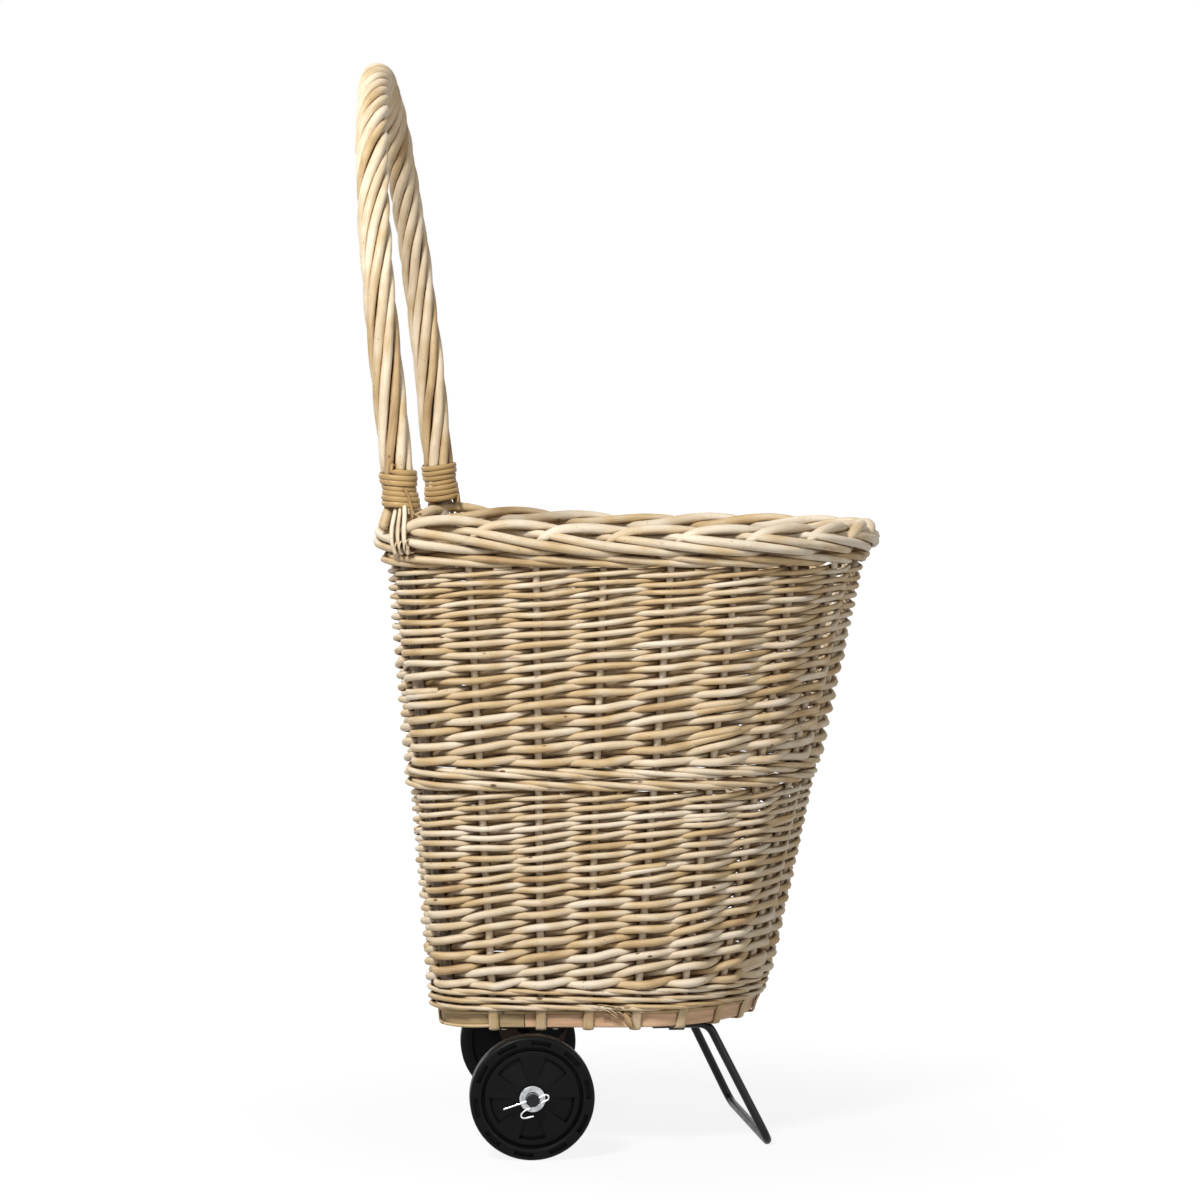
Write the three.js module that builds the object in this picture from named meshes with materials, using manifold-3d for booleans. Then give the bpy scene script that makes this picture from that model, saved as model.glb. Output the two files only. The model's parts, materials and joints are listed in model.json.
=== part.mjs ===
// Fireside log cart: a D-shaped willow basket with a twisted willow bow handle, standing on
// two wheels at the back and a bent steel leg at the front.
// Millimetres, +Z up. The leg is towards -Y, the handle towards +Y, the axle lies across X.
import * as THREE from 'three';
import { mergeVertices } from 'three/addons/utils/BufferGeometryUtils.js';
import Module from 'manifold-3d';

const wasm = await Module();
wasm.setup();

// ---------------------------------------------------------------- driving dimensions (mm)
const CLEARANCE = 0.35; // between two pieces that touch

// basket wall, measured on the line of the upright stakes
const BASE_LEVEL = 118.5; // underside of the base board
const RIM_LEVEL = 559; // underside of the plaited border
const BASE_HALF_WIDTH = 150;
const RIM_HALF_WIDTH = 185;
const BASE_BACK = 166.5;
const RIM_BACK = 210;
const BASE_FRONT = -127.5;
const RIM_FRONT = -229;
const BASE_NOSE = 125; // length of the rounded front
const RIM_NOSE = 163;
const BASE_CORNER = 36; // radius of the two back corners
const RIM_CORNER = 50;
const WALL_THICKNESS = 17; // at the wales

// base
const BOARD_THICKNESS = 12;
const BAND_HEIGHT = 16;
const BAND_THICKNESS = 5;
const BAND_JOINT_Y = 89; // where the front and the back strip of the band meet

// woven bands, bottom to top
const BOTTOM_WALE_HEIGHT = 17;
const LOWER_WEAVE_HEIGHT = 184;
const MIDDLE_WALE_HEIGHT = 22;
const UPPER_WEAVE_HEIGHT = 186;
const WALE_SWELL = 1.5; // the wales stand this much proud of the wall
const WEAVER_BUTT_RADIUS = 4.2; // the weaving rods' thick ends, at the bottom of each woven band
const WEAVER_TIP_RADIUS = 2.4;
const CROSSING = 1.4; // half the band's thickness between two stakes, in rod radii
const BORDER_HEIGHT = 35;
const BORDER_WIDTH = 28;
const BORDER_OVERHANG = 2; // the border's middle lies this far outside the stakes

// upright stakes
const STAKE_RADIUS = 3.6;
const FRONT_STAKES = 16; // between the handle's feet, round the front
const BACK_STAKES = 5; // between the handle's feet, across the back
const FOOT_WIDTH = 11;
const FOOT_THICKNESS = 2.2;
const FOOT_RETURN = 8; // how far a stake's flattened foot folds under the base
const FOOT_OVERLAP = 2.4; // height over which the flattened foot runs out of the round stake
const STAKE_TIP_GAP = 1.2; // below the border

// handle
const BOW_RADIUS = 6;
const RIGHT_FOOT_ANGLE = 48; // where the bow's feet stand on the back corners, in degrees
const LEFT_FOOT_ANGLE = 16;
const HANDLE_TOP = 1002; // the bow's middle line at its highest point
const HANDLE_SHOULDER = 760; // where the bow's straight legs start to bend over
const HANDLE_LEAN = 0.103; // backwards, per mm of height
const SHOULDER_PULL = 0.42; // how far the legs keep straight on above the shoulder
const CROWN_PULL = 0.46; // how flat the bow's top is
const HANDLE_ROD_RADIUS = 4;
const HANDLE_RODS = 7;
const HANDLE_TWIST_TURNS = 3.5;
const BINDING_CANE_RADIUS = 2.2;
const BINDING_TURNS = 6.5;
const BINDING_PITCH = 5.4;
const LAY_ROOM = 0.7; // between the bow and the rods laid round it

// undercarriage
const WHEEL_RADIUS = 57.5;
const WHEEL_WIDTH = 24;
const WHEEL_TRACK = 344;
const AXLE_Y = 91.8;
const AXLE_RADIUS = 6;
const AXLE_SKEW = 3.26; // the axle sits this many degrees off square
const HUB_RADIUS = 13;
const WHEEL_RIM_WIDTH = 11.5; // in from the tread
const WHEEL_SHOULDER = 4; // the tread's bevelled edges
const WHEEL_DISC_INSET = 3.6; // the disc's outer face lies this far inside the rim's
const WHEEL_DISC_THICKNESS = 12.4;
const WHEEL_SLOTS = 10;
const WHEEL_SLOT_TURN = 9; // degrees to the first slot
const WHEEL_SLOT_ANGLE = 19; // degrees that each slot spans
const WHEEL_SLOT_WIDTH = 4;
const WHEEL_SLOT_EDGE = 4; // from the slots to the tread
const WHEEL_SLOT_DEPTH = 5;
const WHEEL_PANELS = 5; // sunk panels between the disc's arms
const WHEEL_PANEL_TURN = 54;
const WHEEL_PANEL_ANGLE = 40;
const WHEEL_PANEL_HUB_EDGE = 3;
const WHEEL_PANEL_RIM_EDGE = 5.75;
const WHEEL_PANEL_DEPTH = 6.5;
const WASHER_RADIUS = 12;
const WASHER_THICKNESS = 2.5;
const BRACKET_INSET = 12; // a bracket's outer face lies this far inside the base's widest edge
const BRACKET_PLATE = 3;
const BRACKET_TOP_WIDTH = 72;
const BRACKET_FLANGE = 25;
const BRACKET_EYE_WALL = 8; // round the axle
const BRACKET_SCREW_EDGE = 12; // from a screw to the bracket's end
const CLIP_WIRE_RADIUS = 1.25;
const CLIP_ANGLE = 21.6; // of the clip's straight leg above the floor
const AXLE_END = 9; // axle left outside the outer washer

const LEG_ROD_RADIUS = 4;
const LEG_TOP_SPACING = 200;
const LEG_FOOT_SPACING = 240;
const LEG_SEAT_BACK = -18; // where the rod's run under the board starts
const LEG_BEND_Y = -70; // where the rod leaves the board
const LEG_LEAN = 26.5; // degrees forwards from upright
const LEG_BEND_RADIUS = 16;
const LEG_SKEW = 7; // the leg sits this many degrees off square
const LEG_FLAT = 0.5; // worn off the foot where it meets the floor
const SADDLE_LENGTH = 14;
const SADDLE_THICKNESS = 1.5;
const SADDLE_HALF_SPAN = 15;
const SADDLE_SHIFT = 4; // the saddles sit this far behind the middle of the rod's run
const SCREW_RADIUS = 2;
const SCREW_HEAD_RADIUS = 4.2;
const SCREW_HEAD_HEIGHT = 2;
const SCREW_BITE = 8; // length of screw inside the board

// ---------------------------------------------------------------- levels and fits
const bandBottom = BASE_LEVEL - CLEARANCE;
const bandTop = bandBottom + BAND_HEIGHT;
const stakeFootLevel = bandTop + CLEARANCE;
const bottomWaleLevel = stakeFootLevel + FOOT_OVERLAP + CLEARANCE;
const lowerWeaveLevel = bottomWaleLevel + BOTTOM_WALE_HEIGHT + CLEARANCE;
const middleWaleLevel = lowerWeaveLevel + LOWER_WEAVE_HEIGHT + CLEARANCE;
const upperWeaveLevel = middleWaleLevel + MIDDLE_WALE_HEIGHT + CLEARANCE;
const topWaleLevel = upperWeaveLevel + UPPER_WEAVE_HEIGHT + CLEARANCE;
const stakeTop = RIM_LEVEL - STAKE_TIP_GAP;
const topWaleEnd = RIM_LEVEL - CLEARANCE;
const borderTop = RIM_LEVEL + BORDER_HEIGHT;
const bundleRadius = BOW_RADIUS + LAY_ROOM + 2 * HANDLE_ROD_RADIUS;
const bindingRadius = bundleRadius + CLEARANCE + BINDING_CANE_RADIUS;
const bindingLevel = borderTop + CLEARANCE + 2 * BINDING_CANE_RADIUS + 1;
const bracketTop = BASE_LEVEL - CLEARANCE;
const legSeatLevel = BASE_LEVEL - CLEARANCE - LEG_ROD_RADIUS;

// ---------------------------------------------------------------- shared shape helpers
const OUTLINE_STEPS = { nose: 8, side: 1, corner: 3, back: 1 };
const FINE_STEPS = { nose: 60, side: 40, corner: 20, back: 40 };

function wallAt(level) {
  const share = (level - BASE_LEVEL) / (RIM_LEVEL - BASE_LEVEL);
  return {
    halfWidth: THREE.MathUtils.lerp(BASE_HALF_WIDTH, RIM_HALF_WIDTH, share),
    back: THREE.MathUtils.lerp(BASE_BACK, RIM_BACK, share),
    front: THREE.MathUtils.lerp(BASE_FRONT, RIM_FRONT, share),
    nose: THREE.MathUtils.lerp(BASE_NOSE, RIM_NOSE, share),
    corner: THREE.MathUtils.lerp(BASE_CORNER, RIM_CORNER, share),
  };
}

// The D outline at one level, grown by an offset, counter-clockwise from the middle of the front.
function wallOutline(level, offset, steps = OUTLINE_STEPS) {
  const wall = wallAt(level);
  const halfWidth = wall.halfWidth + offset;
  const back = wall.back + offset;
  const front = wall.front - offset;
  const nose = wall.nose + offset;
  const corner = wall.corner + offset;
  const half = [];
  for (let i = 0; i < steps.nose; i += 1) {
    const angle = (i / steps.nose) * (Math.PI / 2);
    half.push([halfWidth * Math.sin(angle), front + nose * (1 - Math.cos(angle))]);
  }
  for (let i = 0; i < steps.side; i += 1) {
    const share = i / steps.side;
    half.push([halfWidth, THREE.MathUtils.lerp(front + nose, back - corner, share)]);
  }
  for (let i = 0; i < steps.corner; i += 1) {
    const angle = (i / steps.corner) * (Math.PI / 2);
    half.push([halfWidth - corner * (1 - Math.cos(angle)), back - corner * (1 - Math.sin(angle))]);
  }
  for (let i = 0; i <= steps.back; i += 1) {
    half.push([(halfWidth - corner) * (1 - i / steps.back), back]);
  }
  const mirrored = half.slice(1, -1).reverse().map(([x, y]) => [-x, y]);
  return [...half, ...mirrored].map(([x, y]) => new THREE.Vector2(x, y));
}

// A point on the stake line, by its distance along the wall from the middle of the front.
function pointOnWall(level, distance) {
  const outline = wallOutline(level, 0, FINE_STEPS);
  const loop = [...outline, outline[0]];
  const lengths = loop.slice(1).map((point, i) => point.distanceTo(loop[i]));
  const perimeter = lengths.reduce((sum, length) => sum + length, 0);
  let left = ((distance % perimeter) + perimeter) % perimeter;
  let i = 0;
  while (left > lengths[i]) {
    left -= lengths[i];
    i += 1;
  }
  const point = loop[i].clone().lerp(loop[i + 1], left / lengths[i]);
  const along = loop[i + 1].clone().sub(loop[i]).normalize();
  return { point, outward: new THREE.Vector2(along.y, -along.x), perimeter };
}

// Distance along the wall from the middle of the front to a handle foot on a back corner.
function footDistance(level, angle) {
  const wall = wallAt(level);
  const radii = wall.halfWidth + wall.nose;
  const h = ((wall.halfWidth - wall.nose) / radii) ** 2;
  const ellipse = Math.PI * radii * (1 + (3 * h) / (10 + Math.sqrt(4 - 3 * h)));
  const side = wall.back - wall.corner - wall.front - wall.nose;
  return ellipse / 4 + side + wall.corner * THREE.MathUtils.degToRad(angle);
}

function footPoint(level, side, angle) {
  const wall = wallAt(level);
  const turn = THREE.MathUtils.degToRad(angle);
  return new THREE.Vector3(
    side * (wall.halfWidth - wall.corner * (1 - Math.cos(turn))),
    wall.back - wall.corner * (1 - Math.sin(turn)),
    level,
  );
}

function circleShape(radius, sides) {
  const points = [];
  for (let i = 0; i < sides; i += 1) {
    const angle = ((i + 0.5) / sides) * 2 * Math.PI;
    points.push(new THREE.Vector2(radius * Math.cos(angle), radius * Math.sin(angle)));
  }
  return new THREE.Shape(points);
}

function bar(curve, radius, steps, sides) {
  return new THREE.ExtrudeGeometry(circleShape(radius, sides), {
    steps,
    bevelEnabled: false,
    extrudePath: curve,
  });
}

// One unbroken tube through the given points, with flat ends.
function tubeThrough(points, radius, sides) {
  const positions = [];
  const triangles = [];
  let lift = new THREE.Vector3(0, 0, 1);
  points.forEach((point, i) => {
    const before = points[Math.max(i - 1, 0)];
    const after = points[Math.min(i + 1, points.length - 1)];
    const along = after.clone().sub(before).normalize();
    const right = along.clone().cross(lift).normalize();
    lift = right.clone().cross(along).normalize();
    for (let k = 0; k < sides; k += 1) {
      const turn = (2 * Math.PI * k) / sides;
      const corner = point.clone()
        .addScaledVector(right, radius * Math.cos(turn))
        .addScaledVector(lift, radius * Math.sin(turn));
      positions.push(corner.x, corner.y, corner.z);
    }
  });
  const last = (points.length - 1) * sides;
  for (let i = 0; i < points.length - 1; i += 1) {
    for (let k = 0; k < sides; k += 1) {
      const here = i * sides + k;
      const beside = i * sides + ((k + 1) % sides);
      triangles.push(here, beside + sides, beside);
      triangles.push(here, here + sides, beside + sides);
    }
  }
  for (let k = 1; k < sides - 1; k += 1) {
    triangles.push(0, k, k + 1);
    triangles.push(last, last + k + 1, last + k);
  }
  const geometry = new THREE.BufferGeometry();
  geometry.setAttribute('position', new THREE.Float32BufferAttribute(positions, 3));
  geometry.setIndex(triangles);
  geometry.computeVertexNormals();
  return geometry;
}

// A closed ring swept through loops of points, the loops running outwards over the bottom first.
function ringThrough(loops, levels) {
  const positions = [];
  const triangles = [];
  const count = loops[0].length;
  loops.forEach((loop, k) => {
    loop.forEach((point) => positions.push(point.x, point.y, levels[k]));
  });
  for (let k = 0; k < loops.length; k += 1) {
    const next = (k + 1) % loops.length;
    for (let i = 0; i < count; i += 1) {
      const j = (i + 1) % count;
      triangles.push(k * count + i, k * count + j, next * count + j);
      triangles.push(k * count + i, next * count + j, next * count + i);
    }
  }
  const geometry = new THREE.BufferGeometry();
  geometry.setAttribute('position', new THREE.Float32BufferAttribute(positions, 3));
  geometry.setIndex(triangles);
  return geometry;
}

// A ring whose section is given as [offset, level] corners.
function wallRing(section) {
  const loops = section.map(([offset, level]) => wallOutline(level, offset));
  return ringThrough(loops, section.map(([, level]) => level));
}

function solidOf(geometry) {
  const bare = geometry.clone();
  bare.deleteAttribute('normal');
  bare.deleteAttribute('uv');
  const merged = mergeVertices(bare);
  return new wasm.Manifold(new wasm.Mesh({
    numProp: 3,
    vertProperties: new Float32Array(merged.attributes.position.array),
    triVerts: new Uint32Array(merged.index.array),
  }));
}

function geometryOf(solid) {
  const mesh = solid.getMesh();
  const geometry = new THREE.BufferGeometry();
  geometry.setAttribute('position', new THREE.BufferAttribute(mesh.vertProperties, 3));
  geometry.setIndex(new THREE.BufferAttribute(mesh.triVerts, 1));
  geometry.computeVertexNormals();
  return geometry;
}

function cut(geometry, tools) {
  let solid = solidOf(geometry);
  tools.forEach((tool) => {
    solid = solid.subtract(solidOf(tool));
  });
  return geometryOf(solid);
}

function join(geometries) {
  let solid = solidOf(geometries[0]);
  geometries.slice(1).forEach((geometry) => {
    solid = solid.add(solidOf(geometry));
  });
  return geometryOf(solid);
}

function straightBar(from, to, radius, sides) {
  const length = from.distanceTo(to);
  const geometry = new THREE.CylinderGeometry(radius, radius, length, sides);
  const direction = to.clone().sub(from).normalize();
  const turn = new THREE.Quaternion().setFromUnitVectors(new THREE.Vector3(0, 1, 0), direction);
  geometry.applyQuaternion(turn);
  const middle = from.clone().add(to).multiplyScalar(0.5);
  return geometry.translate(middle.x, middle.y, middle.z);
}

function material(color, roughness, metalness = 0) {
  return new THREE.MeshStandardMaterial({ color, roughness, metalness });
}

const WILLOW = { color: 0xd8c49a, roughness: 0.6 };
const WILLOW_WALE = { color: 0xe0cfa6, roughness: 0.6 };
const STAKE_WILLOW = { color: 0xcdb88c, roughness: 0.65 };
const CANE = { color: 0xd6a867, roughness: 0.5 };
const BARK = { color: 0x7d705f, roughness: 0.8 };
const BOARD = { color: 0xb99a80, roughness: 0.75 };
const STRIP = { color: 0xc9a98c, roughness: 0.7 };
const BLACK_PLASTIC = { color: 0x16171a, roughness: 0.45 };
const BLACK_STEEL = { color: 0x17181b, roughness: 0.35, metalness: 0.6 };
const BROWN_STEEL = { color: 0x33261f, roughness: 0.6, metalness: 0.5 };
const ZINC = { color: 0xb9bdc2, roughness: 0.35, metalness: 0.9 };
const BRIGHT_WIRE = { color: 0xd5d9dd, roughness: 0.2, metalness: 1 };

function piece(name, geometry, finish) {
  const mesh = new THREE.Mesh(geometry, material(finish.color, finish.roughness, finish.metalness));
  mesh.name = name;
  return mesh;
}

// ---------------------------------------------------------------- handle bow
const rightBase = footPoint(bottomWaleLevel, -1, RIGHT_FOOT_ANGLE);
const leftBase = footPoint(bottomWaleLevel, 1, LEFT_FOOT_ANGLE);
const rightRim = footPoint(borderTop, -1, RIGHT_FOOT_ANGLE);
const leftRim = footPoint(borderTop, 1, LEFT_FOOT_ANGLE);
const rimMiddle = rightRim.clone().add(leftRim).multiplyScalar(0.5);
const rimHalf = leftRim.clone().sub(rightRim).multiplyScalar(0.5);

// The bow's half span, as a share of the span between its feet, against height.
const BOW_SHOULDER = new THREE.CubicBezierCurve(
  new THREE.Vector2(1, HANDLE_SHOULDER),
  new THREE.Vector2(1, THREE.MathUtils.lerp(HANDLE_SHOULDER, HANDLE_TOP, SHOULDER_PULL)),
  new THREE.Vector2(CROWN_PULL, HANDLE_TOP),
  new THREE.Vector2(0, HANDLE_TOP),
);

function bowPoint(share, level) {
  const rise = level - borderTop;
  return new THREE.Vector3(
    rimMiddle.x + rimHalf.x * share,
    rimMiddle.y + rimHalf.y * share + HANDLE_LEAN * rise,
    level,
  );
}

function bowArch() {
  const legLevels = [0.25, 0.5, 0.75].map((s) => THREE.MathUtils.lerp(borderTop, HANDLE_SHOULDER, s));
  const shoulder = [0, 0.2, 0.4, 0.6, 0.8].map((t) => BOW_SHOULDER.getPoint(t));
  const rightLeg = legLevels.map((level) => bowPoint(-1, level));
  const rightArch = shoulder.map((p) => bowPoint(-p.x, p.y));
  const leftArch = [...shoulder].reverse().map((p) => bowPoint(p.x, p.y));
  const leftLeg = [...legLevels].reverse().map((level) => bowPoint(1, level));
  return [rightRim, ...rightLeg, ...rightArch, bowPoint(0, HANDLE_TOP), ...leftArch, ...leftLeg, leftRim];
}

const ARCH_STEPS = 42;
const archCurve = new THREE.CatmullRomCurve3(bowArch(), false, 'centripetal');

function handleBow() {
  const arch = archCurve.getSpacedPoints(ARCH_STEPS);
  return tubeThrough([rightBase, ...arch, leftBase], BOW_RADIUS, 7);
}

// The channel that the bow's foot passes through, in the border and the woven bands.
function bowChannel(side) {
  const from = side < 0 ? rightBase : leftBase;
  const to = side < 0 ? rightRim : leftRim;
  const run = to.clone().sub(from).multiplyScalar(0.1);
  const low = from.clone().sub(run);
  const high = to.clone().add(run);
  return straightBar(low, high, (BOW_RADIUS + 2 * CLEARANCE) / Math.cos(Math.PI / 6), 6);
}

// One of the willow rods laid in a rope twist round the bow.
function handleRod(index) {
  const laid = BOW_RADIUS + LAY_ROOM + HANDLE_ROD_RADIUS;
  const across = rimHalf.clone().normalize();
  const legEnd = (BINDING_CANE_RADIUS + LAY_ROOM) / archCurve.getLength();
  const points = [];
  for (let i = 0; i <= ARCH_STEPS; i += 1) {
    const at = THREE.MathUtils.lerp(legEnd, 1 - legEnd, i / ARCH_STEPS);
    const middle = archCurve.getPointAt(at);
    const along = archCurve.getTangentAt(at);
    const side = along.clone().cross(new THREE.Vector3(-across.y, across.x, 0)).normalize();
    const out = side.clone().cross(along).normalize();
    const turn = 2 * Math.PI * (index / HANDLE_RODS + (HANDLE_TWIST_TURNS * i) / ARCH_STEPS);
    points.push(middle
      .addScaledVector(side, laid * Math.cos(turn))
      .addScaledVector(out, laid * Math.sin(turn)));
  }
  return tubeThrough(points, HANDLE_ROD_RADIUS, 5);
}

// ---------------------------------------------------------------- cane bindings at the handle's feet
const BINDING_STEPS = 16; // per turn

function bindingPath(side) {
  const steps = Math.round(BINDING_TURNS * BINDING_STEPS);
  const low = bowPoint(side, bindingLevel);
  const axis = bowPoint(side, HANDLE_SHOULDER).sub(bowPoint(side, borderTop)).normalize();
  const across = new THREE.Vector3(1, 0, 0);
  const forward = axis.clone().cross(across).normalize();
  const square = forward.clone().cross(axis).normalize();
  const points = [];
  for (let i = 0; i <= steps; i += 1) {
    const turn = (2 * Math.PI * i) / BINDING_STEPS;
    points.push(low.clone()
      .addScaledVector(axis, (BINDING_PITCH * i) / BINDING_STEPS)
      .addScaledVector(square, bindingRadius * Math.cos(turn))
      .addScaledVector(forward, bindingRadius * Math.sin(turn)));
  }
  return points;
}

function windingGap(points, diameter, stepsPerTurn) {
  let least = Infinity;
  points.forEach((point, i) => {
    for (let j = i + Math.round(stepsPerTurn / 2); j < points.length; j += 1) {
      least = Math.min(least, point.distanceTo(points[j]) - diameter);
    }
  });
  return least;
}

function handleBinding(side) {
  const points = bindingPath(side);
  const gap = windingGap(points, 2 * BINDING_CANE_RADIUS, BINDING_STEPS);
  console.log(`binding gap to itself: ${gap.toFixed(2)} mm`);
  return tubeThrough(points, BINDING_CANE_RADIUS, 6);
}

// ---------------------------------------------------------------- stakes
// Uprights are counted round the wall from the handle's right foot, which is turn 0.
const LEFT_FOOT_TURN = FRONT_STAKES + 1;
const UPRIGHTS = FRONT_STAKES + BACK_STAKES + 2;

function pointAtTurn(level, turn) {
  const right = footDistance(level, RIGHT_FOOT_ANGLE);
  const left = footDistance(level, LEFT_FOOT_ANGLE);
  if (turn <= LEFT_FOOT_TURN) {
    return pointOnWall(level, -right + ((right + left) * turn) / LEFT_FOOT_TURN);
  }
  const { perimeter } = pointOnWall(level, 0);
  const share = (turn - LEFT_FOOT_TURN) / (UPRIGHTS - LEFT_FOOT_TURN);
  return pointOnWall(level, left + (perimeter - right - left) * share);
}

function isBowFoot(turn) {
  return turn % UPRIGHTS === 0 || turn === LEFT_FOOT_TURN;
}

function stakeSpots() {
  const spots = [];
  for (let turn = 1; turn < UPRIGHTS; turn += 1) {
    if (!isBowFoot(turn)) {
      const low = pointAtTurn(stakeFootLevel, turn);
      const high = pointAtTurn(stakeTop, turn);
      spots.push({
        low: new THREE.Vector3(low.point.x, low.point.y, stakeFootLevel),
        high: new THREE.Vector3(high.point.x, high.point.y, stakeTop),
        outward: low.outward,
      });
    }
  }
  return spots;
}

const STAKES = stakeSpots();

// The flattened foot: down the outside of the band and folded under the board.
function stakeFoot(spot) {
  const inside = 2 * CLEARANCE;
  const outside = inside + FOOT_THICKNESS;
  const top = stakeFootLevel + FOOT_OVERLAP;
  const under = bandBottom - CLEARANCE;
  const sole = under - FOOT_THICKNESS;
  const profile = new THREE.Shape([
    new THREE.Vector2(-FOOT_RETURN, sole),
    new THREE.Vector2(outside, sole),
    new THREE.Vector2(outside, top),
    new THREE.Vector2(inside, top),
    new THREE.Vector2(inside, under),
    new THREE.Vector2(-FOOT_RETURN, under),
  ]);
  const geometry = new THREE.ExtrudeGeometry(profile, { depth: FOOT_WIDTH, bevelEnabled: false });
  geometry.translate(0, 0, -FOOT_WIDTH / 2);
  const out = new THREE.Vector3(spot.outward.x, spot.outward.y, 0);
  const up = new THREE.Vector3(0, 0, 1);
  const basis = new THREE.Matrix4().makeBasis(out, up, out.clone().cross(up));
  basis.setPosition(spot.low.x, spot.low.y, 0);
  return geometry.applyMatrix4(basis);
}

function stake(spot) {
  return join([straightBar(spot.low, spot.high, STAKE_RADIUS, 6), stakeFoot(spot)]);
}

// A stake's channel in the woven bands: square, a little wider than the stake.
function stakeChannel(spot) {
  const run = spot.high.clone().sub(spot.low).multiplyScalar(0.1);
  const radius = (STAKE_RADIUS + CLEARANCE) / Math.cos(Math.PI / 4);
  return straightBar(spot.low.clone().sub(run), spot.high.clone().add(run), radius, 4);
}

// ---------------------------------------------------------------- woven bands and border
const WEAVE_STEPS = 4; // outline points from one upright to the next

// Rods lie outside and inside every upright and cross in between, so the band swells at each one.
function weaveOutline(level, rodRadius, side) {
  const points = [];
  for (let step = 0; step < UPRIGHTS * WEAVE_STEPS; step += 1) {
    const turn = step / WEAVE_STEPS;
    const held = isBowFoot(Math.round(turn)) ? BOW_RADIUS : STAKE_RADIUS;
    const swell = (1 + Math.cos(2 * Math.PI * turn)) / 2;
    const half = THREE.MathUtils.lerp(CROSSING * rodRadius, held + 2 * rodRadius, swell);
    const { point, outward } = pointAtTurn(level, turn);
    points.push(point.clone().addScaledVector(outward, side * half));
  }
  return points;
}

function channelled(ring) {
  const channels = STAKES.map((spot) => stakeChannel(spot));
  return cut(ring, [...channels, bowChannel(-1), bowChannel(1)]);
}

function wovenBand(level, height) {
  const levels = [level, level, level + height, level + height];
  const loops = [
    weaveOutline(level, WEAVER_BUTT_RADIUS, -1),
    weaveOutline(level, WEAVER_BUTT_RADIUS, 1),
    weaveOutline(level + height, WEAVER_TIP_RADIUS, 1),
    weaveOutline(level + height, WEAVER_TIP_RADIUS, -1),
  ];
  return channelled(ringThrough(loops, levels));
}

function wale(level, height) {
  const half = WALL_THICKNESS / 2 + WALE_SWELL;
  return channelled(wallRing([
    [-half, level],
    [half, level],
    [half, level + height],
    [-half, level + height],
  ]));
}

function border() {
  const middle = RIM_LEVEL + BORDER_HEIGHT / 2;
  const sides = 8;
  const section = [];
  for (let i = 0; i < sides; i += 1) {
    const angle = ((i + 0.5) / sides) * 2 * Math.PI;
    const reach = 1 / Math.cos(Math.PI / sides);
    section.push([
      BORDER_OVERHANG + (BORDER_WIDTH / 2) * reach * Math.cos(angle),
      middle + (BORDER_HEIGHT / 2) * reach * Math.sin(angle),
    ]);
  }
  return cut(wallRing(section), [bowChannel(-1), bowChannel(1)]);
}

// ---------------------------------------------------------------- base
function underHole(x, y, radius, depth) {
  const hole = new THREE.CylinderGeometry(radius, radius, 2 * depth, 8);
  hole.rotateX(Math.PI / 2);
  return hole.translate(x, y, BASE_LEVEL);
}

function baseBoard(screwSpots) {
  const outline = new THREE.Shape(wallOutline(BASE_LEVEL, -BAND_THICKNESS - CLEARANCE));
  const board = new THREE.ExtrudeGeometry(outline, { depth: BOARD_THICKNESS, bevelEnabled: false });
  board.translate(0, 0, BASE_LEVEL);
  const radius = (SCREW_RADIUS + CLEARANCE) / Math.cos(Math.PI / 8);
  return cut(board, screwSpots.map(([x, y]) => underHole(x, y, radius, SCREW_BITE + 1)));
}

function baseBand(front) {
  const ring = wallRing([
    [-BAND_THICKNESS, bandBottom],
    [0, bandBottom],
    [0, bandTop],
    [-BAND_THICKNESS, bandTop],
  ]);
  const reach = 4 * RIM_HALF_WIDTH;
  const away = new THREE.BoxGeometry(reach, reach, reach);
  const side = front ? 1 : -1;
  away.translate(0, BAND_JOINT_Y + side * (reach / 2 - CLEARANCE / 2), BASE_LEVEL);
  return cut(ring, [away]);
}

// ---------------------------------------------------------------- axle, brackets and wheels
const wheelCentre = WHEEL_TRACK / 2;
const bracketOuter = BASE_HALF_WIDTH - BRACKET_INSET;
const hubInner = bracketOuter + CLEARANCE;
const hubOuter = wheelCentre + WHEEL_WIDTH / 2;
const outerWasherStart = hubOuter + CLEARANCE;
const outerWasherEnd = outerWasherStart + WASHER_THICKNESS;
const clipPlace = outerWasherEnd + CLEARANCE + CLIP_WIRE_RADIUS;
const axleHalf = outerWasherEnd + AXLE_END;
const boreRadius = (AXLE_RADIUS + CLEARANCE) / Math.cos(Math.PI / 20);

function acrossX(geometry) {
  return geometry.rotateZ(-Math.PI / 2);
}

function axle() {
  const rod = acrossX(new THREE.CylinderGeometry(AXLE_RADIUS, AXLE_RADIUS, 2 * axleHalf, 20));
  const hole = (CLIP_WIRE_RADIUS + CLEARANCE) / Math.cos(Math.PI / 8);
  const drills = [-1, 1].map((side) => {
    const drill = new THREE.CylinderGeometry(hole, hole, 4 * AXLE_RADIUS, 8);
    drill.rotateX(-THREE.MathUtils.degToRad(CLIP_ANGLE));
    return drill.translate(side * clipPlace, 0, 0);
  });
  return cut(rod, drills);
}

function bracketScrewSpots() {
  const inset = bracketOuter - BRACKET_FLANGE / 2 - BRACKET_PLATE / 2;
  const spread = BRACKET_TOP_WIDTH / 2 - BRACKET_SCREW_EDGE;
  return [-1, 1].flatMap((side) => [-1, 1].map((end) => [side * inset, end * spread]));
}

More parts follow.
